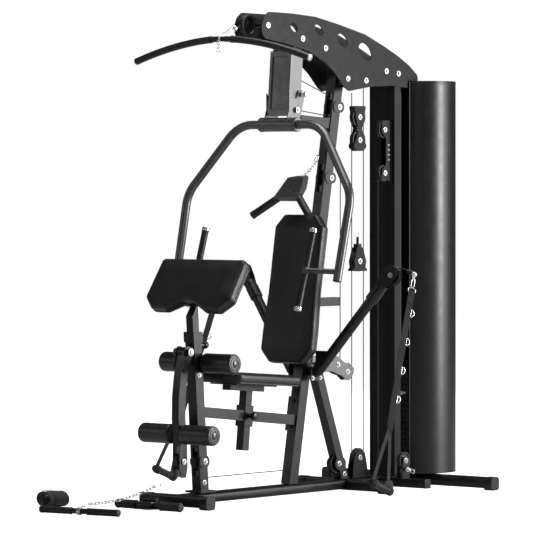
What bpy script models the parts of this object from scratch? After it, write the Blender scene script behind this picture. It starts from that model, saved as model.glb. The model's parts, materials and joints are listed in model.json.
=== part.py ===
"""Multi station home gym: frame, weight tower, press arm, leg developer, seat and cable stations."""
import math

import bmesh
import bpy
from mathutils import Matrix, Vector
from mathutils.geometry import tessellate_polygon

for old in list(bpy.data.objects):
    bpy.data.objects.remove(old, do_unlink=True)

# Driving dimensions in metres. The user faces -Y, the weight tower stands at +Y.
GAP = 0.0004
RAIL_TOP = 0.058
RAIL_LOW = 0.008
FRONT_Y = -0.590
MID_Y = 0.540
REAR_Y = 1.010
UPRIGHT_FOOT_Y = 0.155
UPRIGHT_LEAN = 0.181
UPRIGHT_HALF = 0.02795
POST_FOOT_Y = -0.437
POST_LEAN = -0.0731
POST_HALF = 0.0251
PLATE_IN = 0.0735
PLATE_OUT = 0.0785
COLUMN_Y0 = 0.812
COLUMN_Y1 = 0.857
SHROUD_Y = 1.064
SHROUD_R = 0.180
SHROUD_OPEN = 0.0815
STACK_Y = 1.045
STACK_PITCH = 0.025
STACK_FLOOR = 0.135
PRESS_PIVOT = (0.0, 0.145, 2.010)
YOKE_PIVOT = (0.0, 0.122, 1.697)
LEG_PIVOT = (0.0, -0.549, 0.660)
SEAT_SLOPE = -0.0755
RAIL_SLOPE = -0.1034
CABLE_R = 0.003
# The origin lies on the floor below the middle of the overall box, this far behind the layout's zero.
ORIGIN_Y = 0.05273
PULLEY_R = 0.046
GROOVE_R = 0.039

FINISHES = {
    "coat": ((0.022, 0.022, 0.024), 0.42, 0.0),
    "satin": ((0.075, 0.075, 0.080), 0.38, 0.2),
    "vinyl": ((0.012, 0.012, 0.013), 0.55, 0.0),
    "foam": ((0.020, 0.020, 0.021), 0.60, 0.0),
    "rubber": ((0.014, 0.014, 0.015), 0.75, 0.0),
    "chrome": ((0.72, 0.72, 0.74), 0.18, 1.0),
    "steel": ((0.40, 0.40, 0.42), 0.35, 1.0),
    "nylon": ((0.016, 0.016, 0.017), 0.48, 0.0),
    "webbing": ((0.015, 0.015, 0.016), 0.85, 0.0),
    "iron": ((0.030, 0.030, 0.032), 0.60, 0.3),
}


def upright_y(z):
    return UPRIGHT_FOOT_Y + UPRIGHT_LEAN * (z - 0.056)


def post_y(z):
    return POST_FOOT_Y + POST_LEAN * (z - 0.05)


def rail_z(y):
    return 0.40 + RAIL_SLOPE * (y + 0.43)


# ---------------------------------------------------------------- mesh helpers
def solid(verts, faces):
    """A loose object of one closed body, its faces turned outwards."""
    mesh = bpy.data.meshes.new("work")
    mesh.from_pydata([tuple(v) for v in verts], [], [tuple(f) for f in faces])
    bm = bmesh.new()
    bm.from_mesh(mesh)
    bmesh.ops.recalc_face_normals(bm, faces=bm.faces)
    bm.to_mesh(mesh)
    bm.free()
    obj = bpy.data.objects.new("work", mesh)
    bpy.context.scene.collection.objects.link(obj)
    return obj


def prism(outline, lo, hi, holes=(), place=None):
    """An outline in (y, z), with holes, carried along x from lo to hi."""
    loops = [list(outline)] + [list(h) for h in holes]
    flat = [p for loop in loops for p in loop]
    tris = tessellate_polygon([[Vector((p[0], p[1], 0.0)) for p in loop] for loop in loops])
    n = len(flat)
    verts = [(lo, p[0], p[1]) for p in flat] + [(hi, p[0], p[1]) for p in flat]
    faces = [tuple(t) for t in tris] + [tuple(n + i for i in reversed(t)) for t in tris]
    if not holes:
        faces = [tuple(range(n)), tuple(range(2 * n - 1, n - 1, -1))]
    start = 0
    for loop in loops:
        m = len(loop)
        for i in range(m):
            a = start + i
            b = start + (i + 1) % m
            faces.append((a, b, n + b, n + a))
        start += m
    if place is not None:
        verts = [tuple(place @ Vector(v)) for v in verts]
    return solid(verts, faces)


def box(lo, hi, place=None):
    outline = [(lo[1], lo[2]), (hi[1], lo[2]), (hi[1], hi[2]), (lo[1], hi[2])]
    return prism(outline, lo[0], hi[0], place=place)


def circle(radius, count, cy=0.0, cz=0.0, turn=0.0):
    step = 2 * math.pi / count
    return [(cy + radius * math.cos(i * step + turn), cz + radius * math.sin(i * step + turn))
            for i in range(count)]


def rounded(width, height, radius, count=2):
    """A rectangle centred on the origin with round corners."""
    out = []
    for cx, cy, start in ((1, 1, 0), (-1, 1, 90), (-1, -1, 180), (1, -1, 270)):
        for i in range(count + 1):
            a = math.radians(start + 90 * i / count)
            out.append((cx * (width / 2 - radius) + radius * math.cos(a),
                        cy * (height / 2 - radius) + radius * math.sin(a)))
    return out


def fillet(path, radius, count=4):
    """The path with each inner corner turned into an arc."""
    pts = [Vector(p) for p in path]
    out = [pts[0]]
    for a, b, c in zip(pts, pts[1:], pts[2:]):
        d0 = (a - b).normalized()
        d1 = (c - b).normalized()
        half = d0.angle(d1) / 2
        reach = min(radius / math.tan(half), 0.49 * (a - b).length, 0.49 * (c - b).length)
        r = reach * math.tan(half)
        centre = b + (d0 + d1).normalized() * (r / math.sin(half))
        start = b + d0 * reach - centre
        end = b + d1 * reach - centre
        for i in range(count + 1):
            out.append(centre + start.slerp(end, i / count) * (r / start.slerp(end, i / count).length))
    out.append(pts[-1])
    return out


def sweep(path, section, up=(0, 0, 1)):
    """The section carried along the path with mitred corners."""
    pts = [Vector(p) for p in path]
    dirs = [(b - a).normalized() for a, b in zip(pts, pts[1:])]
    v = Vector(up)
    u = dirs[0].cross(v).normalized()
    v = u.cross(dirs[0]).normalized()
    rings = []
    for i, p in enumerate(pts):
        before = dirs[max(i - 1, 0)]
        after = dirs[min(i, len(dirs) - 1)]
        plane = (before + after).normalized()
        ring = []
        for a, b in section:
            off = u * a + v * b
            ring.append(p + off - before * (off.dot(plane) / before.dot(plane)))
        rings.append(ring)
        turn = before.rotation_difference(after)
        u = turn @ u
        v = turn @ v
    n = len(section)
    verts = [q for ring in rings for q in ring]
    faces = [tuple(range(n)), tuple(range(len(verts) - 1, len(verts) - n - 1, -1))]
    for r in range(len(rings) - 1):
        for i in range(n):
            j = (i + 1) % n
            faces.append((r * n + i, r * n + j, (r + 1) * n + j, (r + 1) * n + i))
    return solid(verts, faces)


def tube(path, radius, count=12):
    d = Vector(path[1]) - Vector(path[0])
    up = (0, 0, 1) if abs(d.normalized().z) < 0.9 else (0, 1, 0)
    return sweep(path, circle(radius, count, turn=math.pi / count), up)


def frame_at(centre, axis):
    """A placement whose local x runs along the axis."""
    x = Vector(axis).normalized()
    side = Vector((0, 0, 1)) if abs(x.z) < 0.9 else Vector((0, 1, 0))
    y = side.cross(x).normalized()
    z = x.cross(y)
    m = Matrix((x, y, z)).transposed().to_4x4()
    m.translation = Vector(centre)
    return m


def lathe(profile, centre, axis=(1, 0, 0), count=20, ring=False):
    """A profile of (radius, distance along the axis) turned about the axis."""
    place = frame_at(centre, axis)
    verts = []
    rows = []
    for r, a in profile:
        if r <= 0:
            rows.append([len(verts)])
            verts.append((a, 0, 0))
            continue
        rows.append(list(range(len(verts), len(verts) + count)))
        verts += [(a, y, z) for y, z in circle(r, count)]
    faces = []
    pairs = list(zip(rows, rows[1:]))
    if ring:
        pairs.append((rows[-1], rows[0]))
    for p, q in pairs:
        for i in range(count):
            j = (i + 1) % count
            face = [p[i % len(p)], p[j % len(p)], q[j % len(q)], q[i % len(q)]]
            face = [f for k, f in enumerate(face) if f != face[k - 1]]
            if len(face) > 2:
                faces.append(face)
    return solid([place @ Vector(v) for v in verts], faces)


def rod(a, b, radius, count=12, chamfer=0.0):
    d = Vector(b) - Vector(a)
    n = d.length
    profile = [(0, 0), (radius - chamfer, 0), (radius, chamfer), (radius, n - chamfer),
               (radius - chamfer, n), (0, n)]
    if chamfer <= 0:
        profile = [(0, 0), (radius, 0), (radius, n), (0, n)]
    return lathe(profile, a, d, count)


def cushion(outline, thick, round_by, place):
    """A pad: outline in local (x, y), thickness along local z, its edges rounded."""
    cx = sum(p[0] for p in outline) / len(outline)
    cy = sum(p[1] for p in outline) / len(outline)
    half_x = max(abs(p[0] - cx) for p in outline)
    half_y = max(abs(p[1] - cy) for p in outline)
    rings = []
    for inset, z in ((round_by, 0.0), (0.3 * round_by, 0.3 * round_by), (0.0, round_by),
                     (0.0, thick - round_by), (0.3 * round_by, thick - 0.3 * round_by),
                     (round_by, thick)):
        sx = 1 - inset / half_x
        sy = 1 - inset / half_y
        rings.append([(cx + (p[0] - cx) * sx, cy + (p[1] - cy) * sy, z) for p in outline])
    n = len(outline)
    verts = [place @ Vector(v) for ring in rings for v in ring]
    faces = [tuple(range(n)), tuple(range(len(verts) - 1, len(verts) - n - 1, -1))]
    for r in range(len(rings) - 1):
        for i in range(n):
            j = (i + 1) % n
            faces.append((r * n + i, r * n + j, (r + 1) * n + j, (r + 1) * n + i))
    return solid(verts, faces)


def bake(obj, other, operation):
    mod = obj.modifiers.new("cut", "BOOLEAN")
    mod.operation = operation
    mod.solver = "EXACT"
    mod.object = other
    graph = bpy.context.evaluated_depsgraph_get()
    mesh = bpy.data.meshes.new_from_object(obj.evaluated_get(graph))
    obj.modifiers.clear()
    obj.data = mesh
    bpy.data.objects.remove(other, do_unlink=True)
    return obj


def join(*parts):
    whole = parts[0]
    for other in parts[1:]:
        whole = bake(whole, other, "UNION")
    return whole


def cut(obj, *cutters):
    for other in cutters:
        obj = bake(obj, other, "DIFFERENCE")
    return obj


def keep(name, obj, finish, pivot=(0, 0, 0), smooth=False):
    """Names the body, gives it its own material and puts its origin on the joint."""
    bm = bmesh.new()
    bm.from_mesh(obj.data)
    bmesh.ops.remove_doubles(bm, verts=bm.verts, dist=0.00001)
    bmesh.ops.dissolve_degenerate(bm, edges=bm.edges, dist=0.00001)
    bmesh.ops.recalc_face_normals(bm, faces=bm.faces)
    bm.to_mesh(obj.data)
    bm.free()
    obj.name = name
    obj.data.name = name
    obj.data.transform(Matrix.Translation(-Vector(pivot)))
    obj.location = pivot
    for poly in obj.data.polygons:
        poly.use_smooth = smooth
    if smooth:
        obj.data.set_sharp_from_angle(angle=math.radians(35))
    rgb, rough, metal = FINISHES[finish]
    mat = bpy.data.materials.new(name + "_" + finish)
    mat.use_nodes = True
    shader = mat.node_tree.nodes["Principled BSDF"]
    shader.inputs["Base Color"].default_value = (*rgb, 1.0)
    shader.inputs["Roughness"].default_value = rough
    shader.inputs["Metallic"].default_value = metal
    mat.diffuse_color = (*rgb, 1.0)
    obj.data.materials.clear()
    obj.data.materials.append(mat)
    return obj


# ---------------------------------------------------------------- base frame
def stabiliser(name, y, half):
    bar = sweep([(-half, y, 0.033), (half, y, 0.033)], rounded(0.05, 0.05, 0.012))
    parts = [bar]
    for side in (-1, 1):
        end = sweep([(side * (half - 0.035), y, 0.030), (side * (half + 0.010), y, 0.030)],
                    rounded(0.058, 0.060, 0.014))
        parts.append(end)
    body = join(*parts)
    if name == "mid_stabiliser":
        body = cut(body, box((-0.0305, y - 0.05, 0.0116), (0.0305, y + 0.05, 0.10)))
    keep(name, body, "coat", smooth=True)


def base_rail(y0, y1):
    bar = sweep([(0, y0, 0.035), (0, y1, 0.035)], rounded(0.060, 0.046, 0.016, 3))
    keep("base_rail", bar, "coat", smooth=True)


def along(y0, z0, y1, z1, half):
    """The four corners of a straight strip between two points in (y, z)."""
    d = Vector((y1 - y0, z1 - z0)).normalized()
    n = Vector((-d.y, d.x)) * half
    return [(y0 - n.x, z0 - n.y), (y1 - n.x, z1 - n.y), (y1 + n.x, z1 + n.y), (y0 + n.x, z0 + n.y)]


def make_upright():
    low = RAIL_TOP + GAP
    top = 1.880
    h = UPRIGHT_HALF
    outline = [(upright_y(low) - h, low), (upright_y(low) + h, low),
               (upright_y(top) + h, top), (upright_y(top) - h, top)]
    body = prism(outline, -0.025, 0.025)
    head = box((-PLATE_IN + GAP, upright_y(1.85) - 0.020, 1.815),
               (PLATE_IN - GAP, upright_y(1.85) + 0.020, 1.865))
    beam = prism(along(0.215, 1.655, 0.440, 1.640, 0.0225), -0.020, 0.020)
    buffer = rod((0, 0.206, 1.655), (0, 0.235, 1.655), 0.018, 12)
    cross = rod((-0.060, 0.262, 0.548), (0.060, 0.262, 0.548), 0.021, 12)
    body = join(body, head, beam, buffer, cross)
    z = 0.850
    bore = box((-0.0195, 0.20, z - 0.0195), (0.0195, 0.40, z + 0.0195))
    slots = []
    for zc in (1.400, 1.715):
        y = upright_y(zc)
        slots.append(box((-0.014, y - 0.06, zc - 0.062), (0.014, y + 0.06, zc + 0.062)))
    keep("main_upright", cut(body, bore, *slots), "coat")


def make_post():
    low = RAIL_TOP + GAP
    top = 0.745
    h = POST_HALF
    outline = [(post_y(low) - h, low), (post_y(low) + h, low),
               (post_y(top) + h, top), (post_y(top) - h, top)]
    body = prism(outline, -0.025, 0.025)
    foot = box((-0.045, post_y(low) - 0.050, low), (0.045, post_y(low) + 0.050, low + 0.008))
    collar = prism([(post_y(0.70) - 0.029, 0.700), (post_y(0.70) + 0.029, 0.700),
                    (post_y(0.744) + 0.029, 0.744), (post_y(0.744) - 0.029, 0.744)], -0.029, 0.029)
    axle = rod((-0.205, -0.445, 0.611), (0.205, -0.445, 0.611), 0.0125, 12)
    boss = rod((-0.0275, -0.445, 0.611), (0.0275, -0.445, 0.611), 0.022, 16)
    lug = box((-0.019, -0.548, 0.640), (0.019, -0.495, 0.680))
    pivot = rod((-0.043, LEG_PIVOT[1], 0.660), (0.043, LEG_PIVOT[1], 0.660), 0.0115, 12)
    ear = rod((-0.019, LEG_PIVOT[1], 0.660), (0.019, LEG_PIVOT[1], 0.660), 0.022, 16)
    body = join(body, foot, collar, boss, axle, lug, ear, pivot)
    bore = prism([(post_y(0.42) - 0.0195, 0.420), (post_y(0.42) + 0.0195, 0.420),
                  (post_y(0.80) + 0.0195, 0.800), (post_y(0.80) - 0.0195, 0.800)], -0.0195, 0.0195)
    hole = rod((0, -0.470, 0.686), (0, -0.400, 0.686), 0.0065, 12)
    slot = box((-0.013, post_y(0.19) - 0.05, 0.130), (0.013, post_y(0.19) + 0.05, 0.250))
    keep("front_post", cut(body, bore, hole, slot), "coat")


def make_brace():
    low = RAIL_TOP + GAP
    lean = (0.337 - 0.520) / (0.540 - 0.060)
    foot = 0.520 + lean * (low - 0.060)
    h = 0.0245
    outline = [(foot - h, low), (foot + h, low), (0.337 + h, 0.540), (0.337 - h, 0.540)]
    keep("rear_brace", prism(outline, -0.0225, 0.0225), "coat")


def make_seat_rail():
    h = 0.0226
    flange_z = (0.290, 0.440)
    face = UPRIGHT_HALF + GAP
    def front(off):
        y = -0.43
        for _ in range(8):
            y = post_y(rail_z(y) + off) + POST_HALF + GAP
        return y, rail_z(y) + off
    def rear(off):
        y = 0.15
        for _ in range(8):
            y = upright_y(rail_z(y) + off) - face - 0.003
        return y, rail_z(y) + off
    rail = prism([front(-h), rear(-h), rear(h), front(h)], -0.0225, 0.0225)
    z0, z1 = flange_z
    flange = prism([(upright_y(z0) - face - 0.007, z0), (upright_y(z0) - face, z0),
                    (upright_y(z1) - face, z1), (upright_y(z1) - face - 0.007, z1)], -0.032, 0.032)
    bolts = [rod((0, upright_y(z) - face - 0.014, z), (0, upright_y(z) - face - 0.004, z), 0.009, 8)
             for z in (0.308, 0.422)]
    up = Vector((0, -RAIL_SLOPE, 1)).normalized()
    centre = Vector((0, -0.148, rail_z(-0.148)))
    place = Matrix((Vector((1, 0, 0)), up.cross(Vector((1, 0, 0))).normalized(), up)).transposed().to_4x4()
    place.translation = centre
    sleeve = box((-0.027, -0.027, -0.046), (0.027, 0.027, 0.046), place)
    bore = box((-0.0204, -0.0204, -0.08), (0.0204, 0.0204, 0.08), place)
    hole = rod((0.015, centre.y, centre.z), (0.06, centre.y, centre.z), 0.0065, 12)
    body = join(rail, flange, sleeve, *bolts)
    keep("seat_rail", cut(body, bore, hole), "coat")
    return place


def make_column():
    front = [(-0.072, COLUMN_Y0), (-0.062, COLUMN_Y0), (-0.060, COLUMN_Y0 + 0.004),
             (-0.030, COLUMN_Y0 + 0.004), (-0.028, COLUMN_Y0), (0.028, COLUMN_Y0),
             (0.030, COLUMN_Y0 + 0.004), (0.060, COLUMN_Y0 + 0.004), (0.062, COLUMN_Y0),
             (0.072, COLUMN_Y0), (0.072, COLUMN_Y1), (-0.072, COLUMN_Y1)]
    low = RAIL_TOP + GAP
    turn = Matrix(((0, 1, 0, 0), (0, 0, 1, 0), (1, 0, 0, 0), (0, 0, 0, 1)))
    body = prism(front, low, 1.900, place=turn)
    foot = box((-0.090, COLUMN_Y0 - 0.020, low), (0.090, COLUMN_Y1 + 0.012, low + 0.008))
    keep("rear_column", join(body, foot), "coat")


def make_top_plates():
    outline = [(-0.126, 2.060), (-0.112, 2.095), (-0.080, 2.120), (0.080, 2.118), (0.241, 2.108),
               (0.400, 2.080), (0.591, 2.040), (0.737, 1.987), (0.830, 1.948), (0.912, 1.907),
               (0.972, 1.865), (0.977, 1.841), (0.932, 1.804), (0.785, 1.814), (0.639, 1.808),
               (0.477, 1.785), (0.448, 1.799), (0.380, 1.862), (0.316, 1.906), (0.194, 1.957),
               (0.073, 1.980), (-0.099, 2.004), (-0.122, 2.022)]
    slots = ((0.010, 2.060, 0.017, 0.013), (0.094, 2.058, 0.024, 0.019), (0.266, 2.050, 0.030, 0.022),
             (0.431, 2.008, 0.036, 0.028), (0.592, 1.962, 0.046, 0.036))
    bolts = ((-0.080, 2.062), (0.156, 2.010), (0.315, 1.972), (0.471, 1.840), (0.748, 1.879),
             (0.601, 1.834), (0.835, 1.870))
    for side, name in ((-1, "top_plate_left"), (1, "top_plate_right")):
        holes = []
        for y, z, a, b in slots[1:]:
            holes.append([(y + a * math.cos(t), z + b * math.sin(t) - 0.35 * a * math.cos(t))
                          for t in [i * math.pi / 7 for i in range(14)]])
        lo, hi = sorted((side * PLATE_IN, side * PLATE_OUT))
        plate = prism(outline, lo, hi, holes)
        heads = [rod((side * (PLATE_OUT - 0.002), y, z), (side * (PLATE_OUT + 0.007), y, z), 0.010, 8)
                 for y, z in bolts]
        keep(name, join(plate, *heads), "coat")


# ---------------------------------------------------------------- weight tower
def make_shroud():
    """An upright cylinder open at the front, closed by a flat lid."""
    open_by = math.asin(SHROUD_OPEN / SHROUD_R)
    count = 32
    outer = []
    inner = []
    for i in range(count + 1):
        a = -math.pi / 2 + open_by + (2 * math.pi - 2 * open_by) * i / count
        outer.append((SHROUD_R * math.cos(a), SHROUD_Y + SHROUD_R * math.sin(a)))
        inner.append(((SHROUD_R - 0.003) * math.cos(a), SHROUD_Y + (SHROUD_R - 0.003) * math.sin(a)))
    outline = outer + inner[::-1]
    turn = Matrix(((0, 1, 0, 0), (0, 0, 1, 0), (1, 0, 0, 0), (0, 0, 0, 1)))
    wall = prism(outline, RAIL_TOP + 0.003, 1.834, place=turn)
    notch = [(-SHROUD_OPEN, 0.990), (SHROUD_OPEN, 0.990)]
    lid = prism(outer + notch, 1.8335, 1.8385, place=turn)
    keep("weight_shroud", join(wall, lid), "coat", smooth=True)


def slab(x, y0, y1, z0, z1, chamfer=0.006):
    outline = [(-x, y0 + chamfer), (-x + chamfer, y0), (x - chamfer, y0), (x, y0 + chamfer),
               (x, y1 - chamfer), (x - chamfer, y1), (-x + chamfer, y1), (-x, y1 - chamfer)]
    turn = Matrix(((0, 1, 0, 0), (0, 0, 1, 0), (1, 0, 0, 0), (0, 0, 0, 1)))
    return prism(outline, z0, z1, place=turn)


def make_guides():
    low = 0.0605
    base = slab(0.115, 0.945, 1.150, low, low + 0.012)
    top = slab(0.125, STACK_Y - 0.022, STACK_Y + 0.022, 1.790, 1.815)
    rods = [rod((x, STACK_Y, low + 0.006), (x, STACK_Y, 1.80), 0.0095, 12) for x in (-0.085, 0.085)]
    pads = [rod((x, STACK_Y, low + 0.008), (x, STACK_Y, STACK_FLOOR - 0.001), 0.020, 12)
            for x in (-0.085, 0.085)]
    keep("guide_rods", join(base, *rods, *pads, top), "steel", smooth=True)


def plates(first, last):
    """One stack of plates as a body with a stepped side wall."""
    outline = []
    y0, y1 = 0.980, 1.110
    step = 0.003
    for i in range(first, last):
        z = STACK_FLOOR + i * STACK_PITCH
        top = z + STACK_PITCH - 0.0025
        outline.append((y1, z))
        outline.append((y1, top))
        if i < last - 1:
            outline.append((y1 - step, top))
            outline.append((y1 - step, top + 0.0025))
    back = [(y0 + y1 - y, z) for y, z in outline]
    body = prism(outline + back[::-1], -0.128, 0.128)
    z0 = STACK_FLOOR + first * STACK_PITCH - 0.01
    z1 = STACK_FLOOR + last * STACK_PITCH + 0.01
    bores = [rod((x, STACK_Y, z0), (x, STACK_Y, z1), 0.0115, 12) for x in (-0.085, 0.085)]
    return body, bores, z0, z1


def make_stack():
    body, bores, z0, z1 = plates(0, 11)
    stem_bore = rod((0, STACK_Y, z0), (0, STACK_Y, z1), 0.0135, 12)
    keep("weight_plates_resting", cut(body, *bores, stem_bore), "iron")
    body, bores, z0, z1 = plates(11, 15)
    body = cut(body, *bores)
    top = STACK_FLOOR + 15 * STACK_PITCH
    stem = rod((0, STACK_Y, STACK_FLOOR + 0.02), (0, STACK_Y, top + 0.075), 0.0115, 12)
    head = slab(0.110, STACK_Y - 0.030, STACK_Y + 0.030, top - 0.004, top + 0.022)
    head = cut(head, *[rod((x, STACK_Y, top - 0.03), (x, STACK_Y, top + 0.04), 0.0115, 12)
                       for x in (-0.085, 0.085)])
    body = join(body, stem, head)
    pin_z = STACK_FLOOR + 11 * STACK_PITCH + 0.011
    body = cut(body, rod((0, 0.95, pin_z), (0, 1.085, pin_z), 0.0058, 10))
    keep("weight_plates_lifted", body, "iron", pivot=(0, STACK_Y, top))
    shaft = rod((0, 0.935, pin_z), (0, 1.075, pin_z), 0.0050, 10)
    knob = rod((0, 0.925, pin_z), (0, 0.955, pin_z), 0.014, 14, 0.003)
    keep("selector_pin", join(shaft, knob), "chrome", pivot=(0, 0.955, pin_z), smooth=True)


# ---------------------------------------------------------------- pulleys and brackets
def pulley(name, centre, axis=(1, 0, 0), radius=PULLEY_R, groove=GROOVE_R):
    w = 0.010
    profile = [(0.0064, -w), (radius - 0.002, -w), (radius, -w + 0.002), (groove, -0.0032),
               (groove, 0.0032), (radius, w - 0.002), (radius - 0.002, w), (0.0064, w)]
    body = lathe(profile, centre, axis, 18, ring=True)
    keep(name, body, "nylon", pivot=centre, smooth=True)


def cheeks(outline, inner, thick):
    return [prism(outline, inner, inner + thick), prism(outline, -inner - thick, -inner)]


def lozenge(points, radius, count=6):
    """A smooth outline about two points in (y, z)."""
    (y0, z0), (y1, z1) = points
    a = math.atan2(z1 - z0, y1 - y0)
    out = [(y1 + radius * math.cos(a + t), z1 + radius * math.sin(a + t))
           for t in [-math.pi / 2 + math.pi * i / count for i in range(count + 1)]]
    out += [(y0 + radius * math.cos(a + t), z0 + radius * math.sin(a + t))
            for t in [math.pi / 2 + math.pi * i / count for i in range(count + 1)]]
    return out


def make_floating_block():
    """Two pulleys, one over the other, between a pair of cheeks."""
    y, hi, lo = 0.635, 1.672, 1.569
    c = cheeks(lozenge(((y, lo), (y, hi)), 0.026), 0.0125, 0.004)
    pins = [rod((-0.022, y, z), (0.022, y, z), 0.0058, 10) for z in (hi, lo)]
    waist = box((-0.0140, y - 0.012, 0.5 * (hi + lo) - 0.0040), (0.0140, y + 0.012, 0.5 * (hi + lo) + 0.0040))
    keep("floating_block", join(c[0], *pins, waist, c[1]), "satin", pivot=(0, y, hi))
    pulley("pulley_block_upper", (0, y, hi))
    pulley("pulley_block_lower", (0, y, lo))


def make_hook_block():
    y, z = 0.635, 1.026
    c = cheeks(lozenge(((y, z - 0.020), (y, z + 0.062)), 0.024), 0.0125, 0.004)
    pin = rod((-0.022, y, z), (0.022, y, z), 0.0058, 10)
    bridge = box((-0.0140, y - 0.014, z + 0.053), (0.0140, y + 0.014, z + 0.080))
    stem = rod((0, y, z + 0.075), (0, y, z + 0.125), 0.006, 10)
    keep("hook_block", join(c[0], pin, bridge, stem, c[1]), "satin", pivot=(0, y, z))
    pulley("pulley_hook", (0, y, z))


def make_column_bracket():
    """A tall pair of cheeks on the front of the tower column, a pulley at each end."""
    y = 0.770
    hi, lo = 1.616, 1.421
    x = 0.036
    back = box((x - 0.022, COLUMN_Y0 - 0.006 - GAP, lo - 0.045), (x + 0.022, COLUMN_Y0 - GAP, hi + 0.045))
    outline = [(y - 0.018, lo - 0.022), (y + 0.010, lo - 0.035), (COLUMN_Y0 - 0.003, lo - 0.035),
               (COLUMN_Y0 - 0.003, hi + 0.035), (y + 0.010, hi + 0.035), (y - 0.018, hi + 0.022),
               (y - 0.018, hi - 0.030), (y + 0.012, hi - 0.060), (y + 0.012, lo + 0.060),
               (y - 0.018, lo + 0.030)]
    c0 = prism(outline, x + 0.0125, x + 0.0165)
    c1 = prism(outline, x - 0.0165, x - 0.0125)
    wheels = []
    for z in (hi, lo):
        wheels.append(rod((x - 0.020, y, z), (x + 0.020, y, z), 0.0058, 8))
        wheels.append(rod((x - 0.0135, y, z), (x + 0.0135, y, z), 0.034, 18))
    keep("column_pulley_bracket", join(back, c0, c1, *wheels), "satin")


def make_seat_back_bracket():
    """A block between upright and brace, and cheeks behind it that carry two pulleys."""
    face = upright_y(0.612) + UPRIGHT_HALF + GAP
    base = prism([(0.2842, 0.5404), (0.420, 0.5404), (0.455, 0.552), (0.455, 0.585), (0.380, 0.606),
                  (0.330, 0.612), (face, 0.612), (face - 0.0058, 0.580), (0.2842, 0.574)], -0.030, 0.030)
    c = cheeks([(0.425, 0.590), (0.470, 0.600), (0.560, 0.560), (0.574, 0.535), (0.556, 0.508),
                (0.470, 0.532), (0.425, 0.548)], 0.0125, 0.004)
    wheels = []
    for y, z in ((0.478, 0.568), (0.5480, 0.535)):
        wheels.append(rod((-0.020, y, z), (0.020, y, z), 0.0058, 8))
        wheels.append(rod((-0.0135, y, z), (0.0135, y, z), 0.034, 18))
    keep("seat_back_pulley_bracket", join(base, c[0], c[1], *wheels), "satin")


def make_floor_bracket():
    """The low pulleys over the rear rail."""
    low = RAIL_TOP + GAP
    parts = [box((-0.0165, 0.572, low), (0.0165, 0.720, low + 0.006))]
    parts += cheeks([(0.585, low + 0.003), (0.700, low + 0.003), (0.662, 0.160), (0.635, 0.172),
                     (0.608, 0.160)], 0.0125, 0.004)
    parts.append(rod((-0.020, 0.635, 0.146), (0.020, 0.635, 0.146), 0.0058, 10))
    parts.append(rod((-0.0135, 0.635, 0.146), (0.0135, 0.635, 0.146), 0.0385, 22))
    keep("floor_pulley_bracket", join(*parts), "satin")


# ---------------------------------------------------------------- press arm
def make_press_column():
    lean = 0.0842
    def at(z):
        return 0.139 + lean * (z - 1.96)
    z0, z1 = 1.672, 1.955
    h = 0.040
    box_part = prism([(at(z0) - h, z0), (at(z0) + h, z0), (at(z1) + h, z1), (at(z1) - h, z1)],
                     -0.060, 0.060)
    recess = prism([(at(1.69) - h - 0.02, 1.700), (at(1.69) - h + 0.006, 1.700),
                    (at(1.93) - h + 0.006, 1.930), (at(1.93) - h - 0.02, 1.930)], -0.045, 0.045)
    box_part = cut(box_part, recess)
    parts = [box_part]
    py, pz = PRESS_PIVOT[1], PRESS_PIVOT[2]
    for side in (-1, 1):
        lug = lozenge(((py - 0.006, 1.930), (py, pz)), 0.026)
        lo, hi = sorted((side * 0.060, side * 0.050))
        parts.append(prism(lug, lo, hi))
    parts.append(rod((-0.0725, py, pz), (0.0725, py, pz), 0.012, 14))
    keep("press_column", join(*parts), "satin", pivot=PRESS_PIVOT)


def make_press_yoke():
    """Side gussets that hang on the column, and the cross sleeve below it."""
    y, z = YOKE_PIVOT[1], YOKE_PIVOT[2]
    sleeve_y = 0.088
    sleeve_z = 1.633
    gusset = [(y - 0.046, 1.772), (y - 0.046, 1.700), (y - 0.062, 1.655), (y - 0.056, 1.616),
              (y - 0.020, 1.606), (y + 0.012, 1.630), (y + 0.036, 1.680), (y + 0.060, 1.760),
              (y + 0.045, 1.786), (y + 0.018, 1.782), (y + 0.004, 1.748), (y - 0.028, 1.748)]
    parts = [rod((-0.095, sleeve_y, sleeve_z), (0.095, sleeve_y, sleeve_z), 0.031, 18)]
    parts += cheeks(gusset, 0.0612, 0.005)
    parts += [rod((side * 0.0605, y, z), (side * 0.0780, y, z), 0.011, 10) for side in (-1, 1)]
    body = join(*parts)
    body = cut(body, rod((-0.11, sleeve_y, sleeve_z), (0.11, sleeve_y, sleeve_z), 0.0204, 16))
    body = cut(body, rod((0.055, y + 0.040, 1.767), (0.075, y + 0.040, 1.767), 0.0060, 12))
    keep("press_yoke", body, "satin", pivot=YOKE_PIVOT)
    knob = rod((0.072, y + 0.040, 1.767), (0.098, y + 0.040, 1.767), 0.0120, 12, 0.003)
    shaft = rod((0.0606, y + 0.040, 1.767), (0.080, y + 0.040, 1.767), 0.0052, 10)
    keep("press_pin", join(knob, shaft), "chrome", pivot=(0.072, y + 0.040, 1.767), smooth=True)
    half = [(0.232, sleeve_y, sleeve_z), (0.464, 0.010, 1.330), (0.456, -0.075, 0.960)]
    path = [(-p[0], p[1], p[2]) for p in half[::-1]] + half
    handle = tube(fillet(path, 0.080, 3), 0.0190, 12)
    stubs = []
    for side in (-1, 1):
        stubs.append(rod((side * 0.458, -0.070, 1.000), (side * 0.3085, -0.108, 1.004), 0.012, 12))
        stubs.append(rod((side * 0.306, -0.050, 1.180), (side * 0.306, -0.158, 0.835), 0.0105, 12))
    keep("press_handle", join(handle, *stubs), "satin", pivot=YOKE_PIVOT, smooth=True)


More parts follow.
